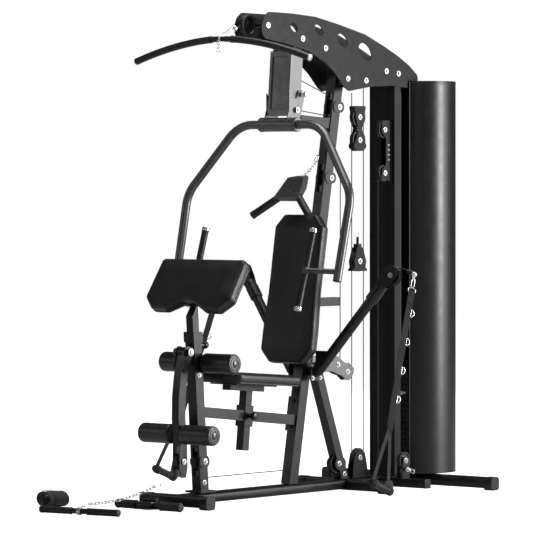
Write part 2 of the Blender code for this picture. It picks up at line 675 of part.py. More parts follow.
def make_press_grips():
    """A sleeve on each upright hand bar, in two lengths about the side stub."""
    top = Vector((0.306, -0.050, 1.180))
    end = Vector((0.306, -0.158, 0.835))
    d = (end - top).normalized()
    for side, name in ((-1, "press_grip_left"), (1, "press_grip_right")):
        a = Vector((side * top.x, top.y, top.z)) + d * 0.004
        length = (end - top).length - 0.008
        profile = [(0.0112, 0), (0.0155, 0), (0.0155, length), (0.0112, length)]
        sleeve = lathe(profile, a, (d.x * side, d.y, d.z), 16, ring=True)
        stub = rod((side * 0.458, -0.070, 1.000), (side * 0.3060, -0.1087, 1.004), 0.0136, 12)
        keep(name, cut(sleeve, stub), "rubber", pivot=YOKE_PIVOT, smooth=True)


# ---------------------------------------------------------------- leg developer and rollers
def make_leg_developer():
    y, z = LEG_PIVOT[1], LEG_PIVOT[2]
    line = [(y - 0.000, z - 0.012), (y - 0.018, 0.560), (y - 0.030, 0.470), (y - 0.032, 0.380),
            (y - 0.026, 0.300), (y - 0.022, 0.262)]
    front = [(p[0] - 0.022, p[1]) for p in line]
    rear = [(p[0] + 0.022, p[1]) for p in line]
    bar = prism(front + rear[::-1], -0.020, 0.020)
    fork = cheeks([(y - 0.046, 0.300), (y - 0.048, 0.170), (y - 0.036, 0.128), (y - 0.006, 0.128),
                   (y + 0.004, 0.170), (y + 0.000, 0.300)], 0.0145, 0.0055)
    ears = cheeks(lozenge(((y, z), (y - 0.010, z - 0.060)), 0.026), 0.0200, 0.006)
    roller = rod((-0.205, -0.580, 0.313), (0.205, -0.580, 0.313), 0.0125, 12)
    pin = rod((-0.024, y - 0.022, 0.196), (0.024, y - 0.022, 0.196), 0.0058, 10)
    body = join(bar, *ears, *fork, roller, pin)
    body = cut(body, rod((-0.05, y, z), (0.05, y, z), 0.0126, 14),
               rod((-0.0195, y, z), (0.0195, y, z), 0.0232, 16),
               box((-0.0195, y, z - 0.0235), (0.0195, y + 0.04, z + 0.04)))
    keep("leg_developer", body, "coat", pivot=LEG_PIVOT)
    pulley("pulley_leg", (0, y - 0.022, 0.196), radius=0.034, groove=0.028)


def roller(name, y, z, side):
    r = 0.0425
    profile = [(0.0132, 0.0), (0.037, 0.0), (r, 0.005), (r, 0.160), (0.036, 0.168), (0.0132, 0.168)]
    body = lathe(profile, (side * 0.0325, y, z), (side, 0, 0), 20, ring=True)
    keep(name, body, "foam", pivot=(side * 0.12, y, z), smooth=True)


# ---------------------------------------------------------------- preacher desk
def make_preacher():
    """The inner post rides in the front post and carries the arm desk."""
    face_hi = Vector((0, -0.420, 1.060))
    face_lo = Vector((0, -0.560, 0.850))
    down = (face_lo - face_hi).normalized()
    out = Vector((0, down.z, -down.y)).normalized()
    thick = 0.058
    width = 0.235
    length = (face_hi - face_lo).length
    mid = (face_hi + face_lo) / 2 - out * thick
    place = Matrix((Vector((1, 0, 0)), -down, Vector((1, 0, 0)).cross(-down))).transposed().to_4x4()
    if Vector((1, 0, 0)).cross(-down).dot(out) < 0:
        place = Matrix((Vector((-1, 0, 0)), -down, out)).transposed().to_4x4()
    place.translation = mid
    h = length / 2
    outline = [(-width, h - 0.020), (-width + 0.020, h), (width - 0.020, h), (width, h - 0.020),
               (width + 0.005, -h + 0.045), (width - 0.045, -h), (0.060, -h), (0.0, -h + 0.045),
               (-0.060, -h), (-width + 0.045, -h), (-width - 0.005, -h + 0.045)]
    keep("preacher_pad", cushion(outline, thick, 0.012, place), "vinyl",
         pivot=(0, post_y(0.745), 0.745))
    bracket = box((-0.070, -0.080, -0.0065), (0.070, 0.080, -GAP), place)
    h = 0.0191
    def under(y):
        """The height of the pad's underside at y, less the bracket."""
        p = mid - out * 0.003
        return p.z + (y - p.y) * (down.z / down.y)
    def meet(off):
        z = 0.88
        for _ in range(60):
            y = post_y(z) + off
            z = z + 0.3 * (under(y) - z)
        return post_y(z) + off, z
    outline = [(post_y(0.47) - h, 0.470), (post_y(0.47) + h, 0.470), meet(h), meet(-h)]
    post = prism(outline, -0.0191, 0.0191)
    hole = rod((0, -0.49, 0.686), (0, -0.43, 0.686), 0.0060, 10)
    keep("preacher_post", cut(join(post, bracket), hole), "coat", pivot=(0, post_y(0.745), 0.745))
    shaft = rod((0, -0.4636, 0.686), (0, -0.430, 0.686), 0.0050, 10)
    knob = rod((0, -0.438, 0.686), (0, -0.398, 0.686), 0.0150, 14, 0.004)
    keep("preacher_pin", join(shaft, knob), "steel", pivot=(0, -0.438, 0.686), smooth=True)


# ---------------------------------------------------------------- seat and backrest
def make_seat(place):
    run = Vector((0, 1, SEAT_SLOPE)).normalized()
    up = Vector((0, -SEAT_SLOPE, 1)).normalized()
    centre = Vector((0, -0.135, 0.574 + SEAT_SLOPE * 0.245))
    thick = 0.048
    pad_place = Matrix((Vector((1, 0, 0)), run, up)).transposed().to_4x4()
    pad_place.translation = centre - up * thick
    w, h = 0.140, 0.245
    outline = [(-w, -h + 0.05), (-w + 0.035, -h + 0.008), (-0.07, -h), (0.07, -h), (w - 0.035, -h + 0.008),
               (w, -h + 0.05), (w, h - 0.04), (w - 0.03, h), (-w + 0.03, h), (-w, h - 0.04)]
    top = place @ Vector((0, 0, 0.10))
    keep("seat_pad", cushion(outline, thick, 0.011, pad_place), "vinyl", pivot=tuple(top))
    plate = box((-0.075, -0.150, -0.0065), (0.075, 0.120, -GAP), pad_place)
    rib = box((-0.022, -0.130, -0.030), (0.022, 0.100, -0.004), pad_place)
    low = -0.150
    high = 0.128
    post = box((-0.0200, -0.0200, low), (0.0200, 0.0200, high), place)
    for_pin = rod((0.010, (place.translation).y, place.translation.z),
                  (0.03, place.translation.y, place.translation.z), 0.0060, 10)
    keep("seat_post", cut(join(post, rib, plate), for_pin), "coat", pivot=tuple(top))
    y, z = place.translation.y, place.translation.z
    shaft = rod((0.0206, y, z), (0.045, y, z), 0.0052, 10)
    knob = rod((0.0285, y, z), (0.068, y, z), 0.0150, 14, 0.004)
    keep("seat_pin", join(shaft, knob), "steel", pivot=(0.03, y, z), smooth=True)


def make_backrest():
    up = Vector((0, 0.1702, 1)).normalized()
    out = Vector((0, -up.z, up.y))
    thick = 0.055
    centre = Vector((0, 0.166, 0.9105)) + up * 0.006
    back = centre - out * thick
    place = Matrix((Vector((-1, 0, 0)), up, out)).transposed().to_4x4()
    place.translation = back
    w, h = 0.145, 0.330
    c = 0.055
    outline = [(-w, -h + c), (-w + c, -h), (w - c, -h), (w, -h + c), (w, h - c), (w - c, h),
               (-w + c, h), (-w, h - c)]
    keep("backrest_pad", cushion(outline, thick, 0.012, place), "vinyl", pivot=(0, 0.30, 0.85))
    plate = box((-0.060, -0.150, -0.0065), (0.060, 0.120, -GAP), place)
    bar = box((-0.0190, 0.2158, 0.831), (0.0190, 0.485, 0.869))
    holes = [rod((0, y, 0.80), (0, y, 0.90), 0.005, 8) for y in (0.400, 0.430, 0.460)]
    bar = cut(bar, *holes)
    keep("backrest_adjuster", join(bar, plate), "coat", pivot=(0, 0.30, 0.85))


# ---------------------------------------------------------------- side arms
def make_side_arm(side, tag):
    root = Vector((side * 0.0345, 0.2605, 0.545))
    end = Vector((side * 0.3625, 0.330, 0.910))
    knee = Vector((side * 0.076, 0.264, 0.549))
    face = 0.060 + GAP
    flange = box((min(side * face, side * (face + 0.006)), 0.228, 0.508),
                 (max(side * face, side * (face + 0.006)), 0.300, 0.590))
    start = Vector((side * (face + 0.003), 0.264, 0.549))
    arm = tube([start, knee, end], 0.0225, 14)
    d = (end - knee).normalized()
    collar = rod(end - d * 0.060, end, 0.0285, 18)
    tip = rod(end - d * 0.02, end + d * 0.034, 0.0120, 12)
    gusset = prism([(0.262, 0.520), (0.268, 0.520), (0.268, 0.640), (0.262, 0.640)],
                   min(side * 0.062, side * 0.118), max(side * 0.062, side * 0.118))
    keep("side_arm_" + tag, join(arm, flange, collar, tip, gusset), "coat", smooth=True)
    # The head turns on the tip of the arm and holds one pulley.
    base = end + d * 0.0006
    cap_profile = [(0.0126, 0.0), (0.0265, 0.0), (0.0265, 0.030), (0.0126, 0.030)]
    cap = lathe(cap_profile, base, d, 18, ring=True)
    mid = Vector((side * 0.440, 0.350, 1.000))
    across = d.cross(Vector((0, 1, 0))).normalized()
    fork = []
    place = Matrix((d, Vector((0, 1, 0)) - d * d.y, across)).transposed().to_4x4()
    y_axis = (Vector((0, 1, 0)) - d * d.y).normalized()
    place = Matrix((d, across, y_axis)).transposed().to_4x4()
    place.translation = base
    for s in (-1, 1):
        lo, hi = sorted((s * 0.0135, s * 0.0185))
        fork.append(box((0.004, -0.0180, lo), (0.125, 0.0180, hi), place))
    pin_at = place @ Vector((0.100, 0, 0))
    pin = rod(pin_at - y_axis * 0.024, pin_at + y_axis * 0.024, 0.0085, 12)
    wheel = rod(pin_at - y_axis * 0.0145, pin_at + y_axis * 0.0145, 0.034, 18)
    keep("arm_head_" + tag, join(cap, fork[0], fork[1], pin, wheel), "satin", pivot=tuple(end))
    return pin_at


def make_strap(side, tag):
    """Webbing that hangs from the cable end and opens to a hand grip."""
    top = Vector((side * 0.545, 0.333, 0.925))
    grip = Vector((side * 0.616, 0.020, 0.085))
    d = (grip - top).normalized()
    split = top + d * 0.640
    wide = Vector((0, d.z, -d.y)).normalized()
    web = sweep([top - d * 0.012, split + d * 0.010], [(-0.0135, -0.0016), (0.0135, -0.0016),
                                                     (0.0135, 0.0016), (-0.0135, 0.0016)],
                up=tuple(d.cross(wide)))
    legs = []
    for s in (-1, 1):
        foot = grip + wide * (s * 0.055)
        legs.append(sweep([split - d * 0.004, foot + d * 0.004],
                          [(-0.0110, -0.0016), (0.0110, -0.0016), (0.0110, 0.0016), (-0.0110, 0.0016)],
                          up=tuple((foot - split).normalized().cross(wide))))
    bar = rod(grip - wide * 0.066, grip + wide * 0.066, 0.0150, 14)
    keep("strap_" + tag, join(bar, *legs, web), "webbing", pivot=tuple(top))


# ---------------------------------------------------------------- cable stations
def make_lat_bar():
    points = []
    for i in range(11):
        x = -0.470 + 0.940 * i / 10
        z = 1.998 - 0.082 * (abs(x) / 0.47) ** 1.8
        points.append((x, -0.300, z))
    bar = tube(points, 0.0125, 10)
    ends = []
    for s in (-1, 1):
        a = Vector((s * 0.489, -0.300, 1.910))
        b = Vector((s * 0.360, -0.300, 1.998 - 0.082 * (0.360 / 0.47) ** 1.8))
        ends.append(rod(a, b, 0.0155, 14))
    lug = prism([(-0.312, 1.990), (-0.288, 1.990), (-0.286, 2.022), (-0.300, 2.036), (-0.314, 2.022)],
                -0.003, 0.003)
    link = tube([(0.0, -0.304, 2.030), (0.0, -0.214, 2.046)], 0.0055, 8)
    ball = rod((0, -0.222, 2.045), (0, -0.204, 2.048), 0.0120, 14, 0.003)
    keep("lat_bar", join(bar, *ends, lug, link, ball), "coat", pivot=(0, -0.300, 2.02), smooth=True)


def make_v_handle():
    apex = Vector((0, 0.235, 1.392))
    plate = prism([(0.262, 1.412), (0.200, 1.402), (0.128, 1.312), (0.150, 1.296), (0.232, 1.352)],
                  -0.030, 0.030)
    parts = [plate]
    for s in (-1, 1):
        parts.append(rod((s * 0.015, 0.176, 1.345), (s * 0.165, 0.095, 1.232), 0.0150, 14, 0.003))
    clip = rod((0, 0.240, 1.390), (0, 0.296, 1.425), 0.0060, 8)
    keep("v_handle", join(*parts, clip), "rubber", pivot=tuple(apex))


def make_floor_pieces():
    """A straight bar with its chain, an ankle cuff and the foot rest in front of the base."""
    bar = rod((-0.292, -1.124, 0.0155), (0.100, -1.065, 0.0155), 0.0150, 14, 0.002)
    lug = rod((-0.096, -1.094, 0.020), (-0.096, -1.094, 0.040), 0.007, 8)
    keep("low_bar", join(bar, lug), "coat", pivot=(-0.096, -1.094, 0.020), smooth=True)
    start = Vector((-0.092, -1.058, 0.034))
    end = Vector((-0.006, -0.706, 0.100))
    count = 10
    links = []
    for i in range(count):
        a = start.lerp(end, i / count)
        b = start.lerp(end, (i + 1.25) / count)
        links.append(rod(a, b, 0.0048 if i % 2 else 0.0062, 8))
    links.append(rod((-0.096, -1.066, 0.033), start.lerp(end, 0.03), 0.0058, 8))
    keep("low_chain", join(*links), "chrome", pivot=(-0.096, -1.094, 0.020))
    outer = [(0.058 * math.cos(a), 0.040 * math.sin(a)) for a in [i * math.pi / 9 for i in range(18)]]
    inner = [(0.050 * math.cos(a), 0.032 * math.sin(a)) for a in [i * math.pi / 9 for i in range(18)]]
    place = Matrix.Translation((-0.440, -0.890, 0.0405)) @ Matrix.Rotation(math.radians(70), 4, "Z")
    cuff = prism(outer, -0.045, 0.045, holes=[inner], place=place)
    keep("ankle_cuff", cuff, "webbing")
    tread = [(-0.060, -0.618), (-0.060, -0.760), (-0.035, -0.815), (0.035, -0.815), (0.060, -0.760),
             (0.060, -0.618)]
    turn = Matrix(((0, 1, 0, 0), (0, 0, 1, 0), (1, 0, 0, 0), (0, 0, 0, 1)))
    plate = prism(tread, 0.010, 0.016, place=turn)
    peg_bar = rod((-0.170, -0.770, 0.0235), (0.170, -0.770, 0.0235), 0.012, 12)
    pegs = [rod((s * 0.070, -0.770, 0.0235), (s * 0.178, -0.770, 0.0235), 0.0200, 14, 0.003) for s in (-1, 1)]
    keep("foot_rest", join(plate, peg_bar, *pegs), "coat", smooth=True)


def wrap(centre, radius, a0, a1, count=8):
    """Points on an arc in the plane of symmetry, angles in degrees from +y towards +z."""
    out = []
    for i in range(count + 1):
        a = math.radians(a0 + (a1 - a0) * i / count)
        out.append((0.0, centre[0] + radius * math.cos(a), centre[1] + radius * math.sin(a)))
    return out


def make_cables():
    over = GROOVE_R + CABLE_R + 0.0008
    front = (-0.128, 2.063)
    rear = (0.635, 1.852)
    floor = (0.635, 0.146)
    path = wrap(front, over, 180, 75)
    path += wrap(rear, over, 75, 0)
    path += wrap(floor, over, 0, -180)
    path.append((0.0, floor[0] - over, 1.780))
    keep("cable_tower", tube(path, CABLE_R, 6), "rubber", smooth=True)
    pulley("pulley_top_front", (0, *front))
    pulley("pulley_top_rear", (0, *rear))
    low = 0.119
    keep("cable_low", tube([(0.0, -0.390, low), (0.0, 0.1325, low)], CABLE_R, 6), "rubber", smooth=True)


stabiliser("front_stabiliser", FRONT_Y, 0.180)
stabiliser("mid_stabiliser", MID_Y, 0.245)
stabiliser("rear_stabiliser", REAR_Y, 0.480)
base_rail(FRONT_Y + 0.0254, REAR_Y - 0.0254)
make_upright()
make_post()
make_brace()
seat_place = make_seat_rail()
make_column()
make_top_plates()
make_shroud()
make_guides()
make_stack()
make_floating_block()
make_hook_block()
make_column_bracket()
make_seat_back_bracket()
make_floor_bracket()
make_press_column()
make_press_yoke()
make_press_grips()
make_leg_developer()
roller("roller_upper_left", -0.445, 0.611, -1)
roller("roller_upper_right", -0.445, 0.611, 1)
roller("roller_lower_left", -0.580, 0.313, -1)
roller("roller_lower_right", -0.580, 0.313, 1)
make_preacher()
make_seat(seat_place)
make_backrest()
for arm_side, arm_tag in ((-1, "left"), (1, "right")):
    make_side_arm(arm_side, arm_tag)
    make_strap(arm_side, arm_tag)
make_lat_bar()
make_v_handle()
make_floor_pieces()
make_cables()
for piece in bpy.data.objects:
    piece.location.y -= ORIGIN_Y
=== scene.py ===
"""Looks of the multi station home gym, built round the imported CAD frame."""
import json
import math

import bmesh
import bpy
import numpy as np
from mathutils import Matrix, Vector, noise
from mathutils.bvhtree import BVHTree
from mathutils.geometry import tessellate_polygon


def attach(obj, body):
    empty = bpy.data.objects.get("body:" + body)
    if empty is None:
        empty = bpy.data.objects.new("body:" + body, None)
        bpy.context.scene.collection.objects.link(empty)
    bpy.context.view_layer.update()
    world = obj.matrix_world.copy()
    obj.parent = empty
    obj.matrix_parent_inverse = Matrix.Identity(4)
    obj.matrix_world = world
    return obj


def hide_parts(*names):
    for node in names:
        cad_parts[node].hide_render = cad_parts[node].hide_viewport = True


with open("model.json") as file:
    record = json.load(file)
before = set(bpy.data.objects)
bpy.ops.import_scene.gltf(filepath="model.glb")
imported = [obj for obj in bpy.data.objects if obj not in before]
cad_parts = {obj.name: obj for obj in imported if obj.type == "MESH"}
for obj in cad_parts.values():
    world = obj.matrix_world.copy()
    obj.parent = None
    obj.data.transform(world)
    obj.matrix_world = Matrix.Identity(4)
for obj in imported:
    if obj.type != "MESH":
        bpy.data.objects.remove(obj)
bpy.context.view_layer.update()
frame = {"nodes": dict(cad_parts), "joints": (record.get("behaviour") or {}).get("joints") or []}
NODES = frame["nodes"]
JOINTS = {j["name"]: j for j in frame["joints"]}

# Shapes are laid out with zero at the base rail's layout origin; SHIFT carries them into the row frame.
SHIFT = JOINTS["press_swing"]["pos_m"][1] - 0.145
MOVE = Matrix.Translation((0, SHIFT, 0))
SIDES = (-1, 1)

# Pulley hardware: every pair of cheeks starts at CHEEK from its wheel's middle, and its bolts sit at SEAT.
CHEEK, CHEEK_THICK = 0.0125, 0.004
SEAT = CHEEK + CHEEK_THICK
CABLE_Y = 0.635
BLOCK_HIGH, BLOCK_LOW, HOOK_Z, FLOOR_Z = 1.672, 1.569, 1.026, 0.146
TOP_FRONT, TOP_REAR, LEG_WHEEL = (-0.128, 2.063), (CABLE_Y, 1.852), (-0.571, 0.196)
COLUMN_X = 0.036
WIRE = 0.0022

# Upholstery: how hard and how long the skin is blown, rounds of evening over it, and the shape of the pads.
PRESSURE = 4.0
BLOW_FRAMES = 20
TAUT = 40
VOXEL = 0.005
BACK, RIM = 0.0035, 0.0135
SEAM_HEIGHT = 0.3
CROWN_RUN = 0.07
STITCH_STEP, STITCH_FILL = 0.0075, 0.62

# Studio: how brightly the world and the floor show, the floor to the camera only.
WORLD_LIGHT = 0.065
FLOOR_GLOW = 0.965
FLOOR_REACH, FLOOR_DROP = 40, -0.0005

# Camera: where the photograph was taken from.
AZIMUTH = math.radians(40)
DISTANCE, EYE = 17.0, 1.43
LENS, SENSOR, RISE = 263.4, 36.0, -0.179


# ---------------------------------------------------------------- shape helpers
def link(name, mesh):
    """A new object in the scene."""
    obj = bpy.data.objects.new(name, mesh)
    bpy.context.scene.collection.objects.link(obj)
    return obj


def solid(verts, faces):
    """A closed mesh from points and faces, its normals facing out."""
    mesh = bpy.data.meshes.new("work")
    mesh.from_pydata([tuple(v) for v in verts], [], [tuple(f) for f in faces])
    bm = bmesh.new()
    bm.from_mesh(mesh)
    bmesh.ops.remove_doubles(bm, verts=bm.verts, dist=1e-6)
    bmesh.ops.recalc_face_normals(bm, faces=bm.faces)
    bm.to_mesh(mesh)
    bm.free()
    return link("work", mesh)


def circle(radius, count):
    """A round outline in (y, z)."""
    return [(radius * math.cos(i * math.tau / count), radius * math.sin(i * math.tau / count))
            for i in range(count)]


def rounded(width, height, radius):
    """The outline of a rectangle with round corners."""
    out, count = [], 4
    for cx, cy, start in ((1, 1, 0), (-1, 1, 90), (-1, -1, 180), (1, -1, 270)):
        for i in range(count + 1):
            a = math.radians(start + 90 * i / count)
            out.append((cx * (width / 2 - radius) + radius * math.cos(a),
                        cy * (height / 2 - radius) + radius * math.sin(a)))
    return out


def prism(outline, lo, hi, holes=(), place=None):
    """An outline in (y, z), with holes, carried along x; with FLAT as its place it rises along z."""
    loops = [list(outline)] + [list(h) for h in holes]
    flat = [p for loop in loops for p in loop]
    n = len(flat)
    verts = [(lo, p[0], p[1]) for p in flat] + [(hi, p[0], p[1]) for p in flat]
    if holes:
        tris = tessellate_polygon([[Vector((p[0], p[1], 0)) for p in loop] for loop in loops])
        faces = [tuple(t) for t in tris] + [tuple(n + i for i in reversed(t)) for t in tris]
    else:
        faces = [tuple(range(n)), tuple(range(2 * n - 1, n - 1, -1))]
    start = 0
    for loop in loops:
        m = len(loop)
        for i in range(m):
            a, b = start + i, start + (i + 1) % m
            faces.append((a, b, n + b, n + a))
        start += m
    if place is not None:
        verts = [place @ Vector(v) for v in verts]
    return solid(verts, faces)


FLAT = Matrix(((0, 1, 0, 0), (0, 0, 1, 0), (1, 0, 0, 0), (0, 0, 0, 1)))


def box(lo, hi, round_by=0.0):
    outline = [(lo[1], lo[2]), (hi[1], lo[2]), (hi[1], hi[2]), (lo[1], hi[2])]
    return bevel(prism(outline, lo[0], hi[0]), round_by)


def frame_at(centre, axis):
    """A frame at a point, its x along the axis."""
    x = Vector(axis).normalized()
    side = Vector((0, 0, 1)) if abs(x.z) < 0.9 else Vector((0, 1, 0))
    y = side.cross(x).normalized()
    m = Matrix((x, y, x.cross(y))).transposed().to_4x4()
    m.translation = Vector(centre)
    return m


def lathe(profile, centre, axis, count, ring=False):
    """A profile of (radius, distance along the axis) turned about the axis."""
    place = frame_at(centre, axis)
    verts, rows, faces = [], [], []
    for r, a in profile:
        if r <= 0:
            rows.append([len(verts)])
            verts.append((a, 0, 0))
        else:
            rows.append(list(range(len(verts), len(verts) + count)))
            verts += [(a, y, z) for y, z in circle(r, count)]
    pairs = list(zip(rows, rows[1:]))
    if ring:
        pairs.append((rows[-1], rows[0]))
    for p, q in pairs:
        for i in range(count):
            j = (i + 1) % count
            face = [p[i % len(p)], p[j % len(p)], q[j % len(q)], q[i % len(q)]]
            face = [f for k, f in enumerate(face) if f != face[k - 1]]
            if len(face) > 2:
                faces.append(face)
    return solid([place @ Vector(v) for v in verts], faces)


def rod(a, b, radius, count=24, edge=0.0008):
    """A round bar from a to b with chamfered ends."""
    d = Vector(b) - Vector(a)
    n = d.length
    edge = min(edge, 0.3 * radius, 0.3 * n)
    return lathe([(0, 0), (radius - edge, 0), (radius, edge), (radius, n - edge), (radius - edge, n), (0, n)],
                 a, d, count)


def fillet(path, radius, count=8):
    """The path with an arc at each corner, tighter where the straights are short."""
    pts = [Vector(p) for p in path]
    out = [pts[0]]
    for a, b, c in zip(pts, pts[1:], pts[2:]):
        d0, d1 = (a - b).normalized(), (c - b).normalized()
        half = d0.angle(d1) / 2
        reach = min(radius / math.tan(half), 0.49 * (a - b).length, 0.49 * (c - b).length)
        r = reach * math.tan(half)
        centre = b + (d0 + d1).normalized() * (r / math.sin(half))
        start, end = b + d0 * reach - centre, b + d1 * reach - centre
        for i in range(count + 1):
            out.append(centre + start.slerp(end, i / count).normalized() * r)
    out.append(pts[-1])
    return out


def sweep(path, section, up=(0, 0, 1), closed=False):
    """The section carried along the path with mitred corners, its ends closed."""
    pts = [Vector(p) for p in path]
    if closed:
        pts = pts + [pts[0], pts[1]]
    dirs = [(b - a).normalized() for a, b in zip(pts, pts[1:])]
    v = Vector(up)
    u = dirs[0].cross(v).normalized()
    v = u.cross(dirs[0]).normalized()
    rings = []
    for i, p in enumerate(pts):
        before, after = dirs[max(i - 1, 0)], dirs[min(i, len(dirs) - 1)]
        plane = (before + after).normalized()
        ring = []
        for a, b in section:
            off = u * a + v * b
            ring.append(p + off - before * (off.dot(plane) / before.dot(plane)))
        rings.append(ring)
        turn = before.rotation_difference(after)
        u, v = turn @ u, turn @ v
    n = len(section)
    if closed:
        rings = rings[1:-1]
    verts = [q for ring in rings for q in ring]
    faces = []
    if not closed:
        faces = [tuple(range(n)), tuple(range(len(verts) - 1, len(verts) - n - 1, -1))]
    last = len(rings) if closed else len(rings) - 1
    for r in range(last):
        s = (r + 1) % len(rings)
        for i in range(n):
            j = (i + 1) % n
            faces.append((r * n + i, r * n + j, s * n + j, s * n + i))
    return solid(verts, faces)


def tube(path, radius, count=20):
    """Round tube along a path."""
    d = (Vector(path[1]) - Vector(path[0])).normalized()
    up = (0, 0, 1) if abs(d.z) < 0.9 else (0, 1, 0)
    return sweep(path, circle(radius, count), up)


def orbit(centre, u, v, a, b, count, start=0.0, turn=math.tau, last=False):
    """Points round an ellipse in the plane of u and v; last adds the far end of a part turn."""
    centre, u, v = Vector(centre), Vector(u), Vector(v)
    steps = count - 1 if last else count
    return [centre + u * (a * math.cos(t)) + v * (b * math.sin(t))
            for t in [start + turn * i / steps for i in range(count)]]


def loop(centre, u, v, a, b, radius):
    """A closed ring of round wire: an ellipse in the plane of u and v."""
    u, v = Vector(u).normalized(), Vector(v).normalized()
    return sweep(orbit(centre, u, v, a, b, 24), circle(radius, 10), tuple(u.cross(v)), closed=True)


def bevel(obj, width, segments=2, angle=30):
    """Rounds the edges sharper than the angle."""
    if not width:
        return obj
    mod = obj.modifiers.new("edge", "BEVEL")
    mod.width = width
    mod.segments = segments
    mod.limit_method = "ANGLE"
    mod.angle_limit = math.radians(angle)
    mod.harden_normals = False
    return obj


def bake(obj):
    """Turns the modifiers into mesh."""
    graph = bpy.context.evaluated_depsgraph_get()
    mesh = bpy.data.meshes.new_from_object(obj.evaluated_get(graph))
    obj.modifiers.clear()
    obj.data = mesh
    return obj


def merge(name, parts):
    """Several closed shapes as one object; the parts are used up."""
    bm = bmesh.new()
    for part in parts:
        if part.modifiers:
            bake(part)
        bm.from_mesh(part.data)
    mesh = bpy.data.meshes.new(name)
    bm.to_mesh(mesh)
    bm.free()
    for part in parts:
        bpy.data.objects.remove(part, do_unlink=True)
    return link(name, mesh)


def put(obj, name, body, mat, smooth=40, replaces=()):
    """Names a piece, given whole or as parts, carries it to the row frame and fixes it to its body."""
    if isinstance(obj, list):
        obj = merge(name, obj)
    elif obj.modifiers:
        bake(obj)
    obj.name = name
    obj.data.name = name
    obj.data.transform(MOVE)
    for poly in obj.data.polygons:
        poly.use_smooth = bool(smooth)
    if smooth and smooth < 180:
        obj.data.set_sharp_from_angle(angle=math.radians(smooth))
        shade = obj.modifiers.new("shade", "WEIGHTED_NORMAL")
        shade.keep_sharp = True
        shade.weight = 90
    obj.data.materials.clear()
    obj.data.materials.append(mat)
    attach(obj, body)
    if replaces:
        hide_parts(*replaces)
    return obj


# ---------------------------------------------------------------- materials
class Shader:
    """A Principled material whose colour, roughness and bump come from nodes."""

    def __init__(self, name, rough, metal=0.0):
        self.mat = bpy.data.materials.new(name)
        self.mat.use_nodes = True
        self.tree = self.mat.node_tree
        self.bsdf = self.tree.nodes["Principled BSDF"]
        self.give(Roughness=rough, Metallic=metal)
        self.where = self.node("ShaderNodeTexCoord").outputs["Object"]
        self.normal = None

    def node(self, kind, **sets):
        n = self.tree.nodes.new(kind)
        for key, value in sets.items():
            if hasattr(n, key):
                setattr(n, key, value)
            else:
                n.inputs[key.replace("_", " ")].default_value = value
        return n

    def wire(self, a, b):
        self.tree.links.new(a, b)

    def noise(self, scale, detail=3.0, rough=0.5, stretch=None):
        n = self.node("ShaderNodeTexNoise", Scale=scale, Detail=detail, Roughness=rough)
        source = self.where
        if stretch is not None:
            m = self.node("ShaderNodeMapping", Scale=stretch)
            self.wire(source, m.inputs["Vector"])
            source = m.outputs["Vector"]
        self.wire(source, n.inputs["Vector"])
        return n.outputs["Fac"]

    def ramp(self, fac, lo, hi, a=0.35, b=0.65):
        n = self.node("ShaderNodeMapRange", From_Min=a, From_Max=b, To_Min=lo, To_Max=hi)
        self.wire(fac, n.inputs["Value"])
        return n.outputs["Result"]

    def math(self, kind, a, b):
        n = self.node("ShaderNodeMath", operation=kind)
        for i, v in enumerate((a, b)):
            if isinstance(v, (int, float)):
                n.inputs[i].default_value = v
            else:
                self.wire(v, n.inputs[i])
        return n.outputs[0]

    def mix(self, fac, a, b):
        n = self.node("ShaderNodeMix", data_type="RGBA")
        for key, v in (("Factor", fac), ("A", a), ("B", b)):
            kind = "VALUE" if key == "Factor" else "RGBA"
            slot = [s for s in n.inputs if s.name == key and s.type == kind][0]
            if isinstance(v, tuple):
                slot.default_value = (*v, 1.0)
            elif isinstance(v, (int, float)):
                slot.default_value = v
            else:
                self.wire(v, slot)
        return [s for s in n.outputs if s.type == "RGBA"][0]

    def bump(self, height, strength, distance):
        n = self.node("ShaderNodeBump", Strength=strength, Distance=distance)
        self.wire(height, n.inputs["Height"])
        if self.normal is not None:
            self.wire(self.normal, n.inputs["Normal"])
        self.normal = n.outputs["Normal"]
        self.wire(self.normal, self.bsdf.inputs["Normal"])

    def edges(self, radius):
        """Near 1 on an edge, 0 on a flat."""
        soft = self.node("ShaderNodeBevel", samples=4, Radius=radius)
        geo = self.node("ShaderNodeNewGeometry")
        dot = self.node("ShaderNodeVectorMath", operation="DOT_PRODUCT")
        self.wire(soft.outputs[0], dot.inputs[0])
        self.wire(geo.outputs["Normal"], dot.inputs[1])
        return self.ramp(dot.outputs["Value"], 1.0, 0.0, 0.9, 0.99)

    def colour(self, value):
        if isinstance(value, tuple):
            self.bsdf.inputs["Base Color"].default_value = (*value, 1.0)
        else:
            self.wire(value, self.bsdf.inputs["Base Color"])

    def rough(self, value):
        self.wire(value, self.bsdf.inputs["Roughness"])

    def mottle(self, scale, detail, dark, light):
        """Colour that drifts between two shades."""
        self.colour(self.mix(self.ramp(self.noise(scale, detail), 0.0, 1.0), dark, light))

    def patchy(self, scale, detail, lo, hi):
        """Roughness that drifts between two values."""
        self.rough(self.ramp(self.noise(scale, detail), lo, hi))

    def give(self, **values):
        for key, value in values.items():
            self.bsdf.inputs[key.replace("_", " ")].default_value = value

    def pattern(self, kind, **sets):
        """A texture node read in the object's own space."""
        n = self.node(kind, **sets)
        self.wire(self.where, n.inputs["Vector"])
        return n


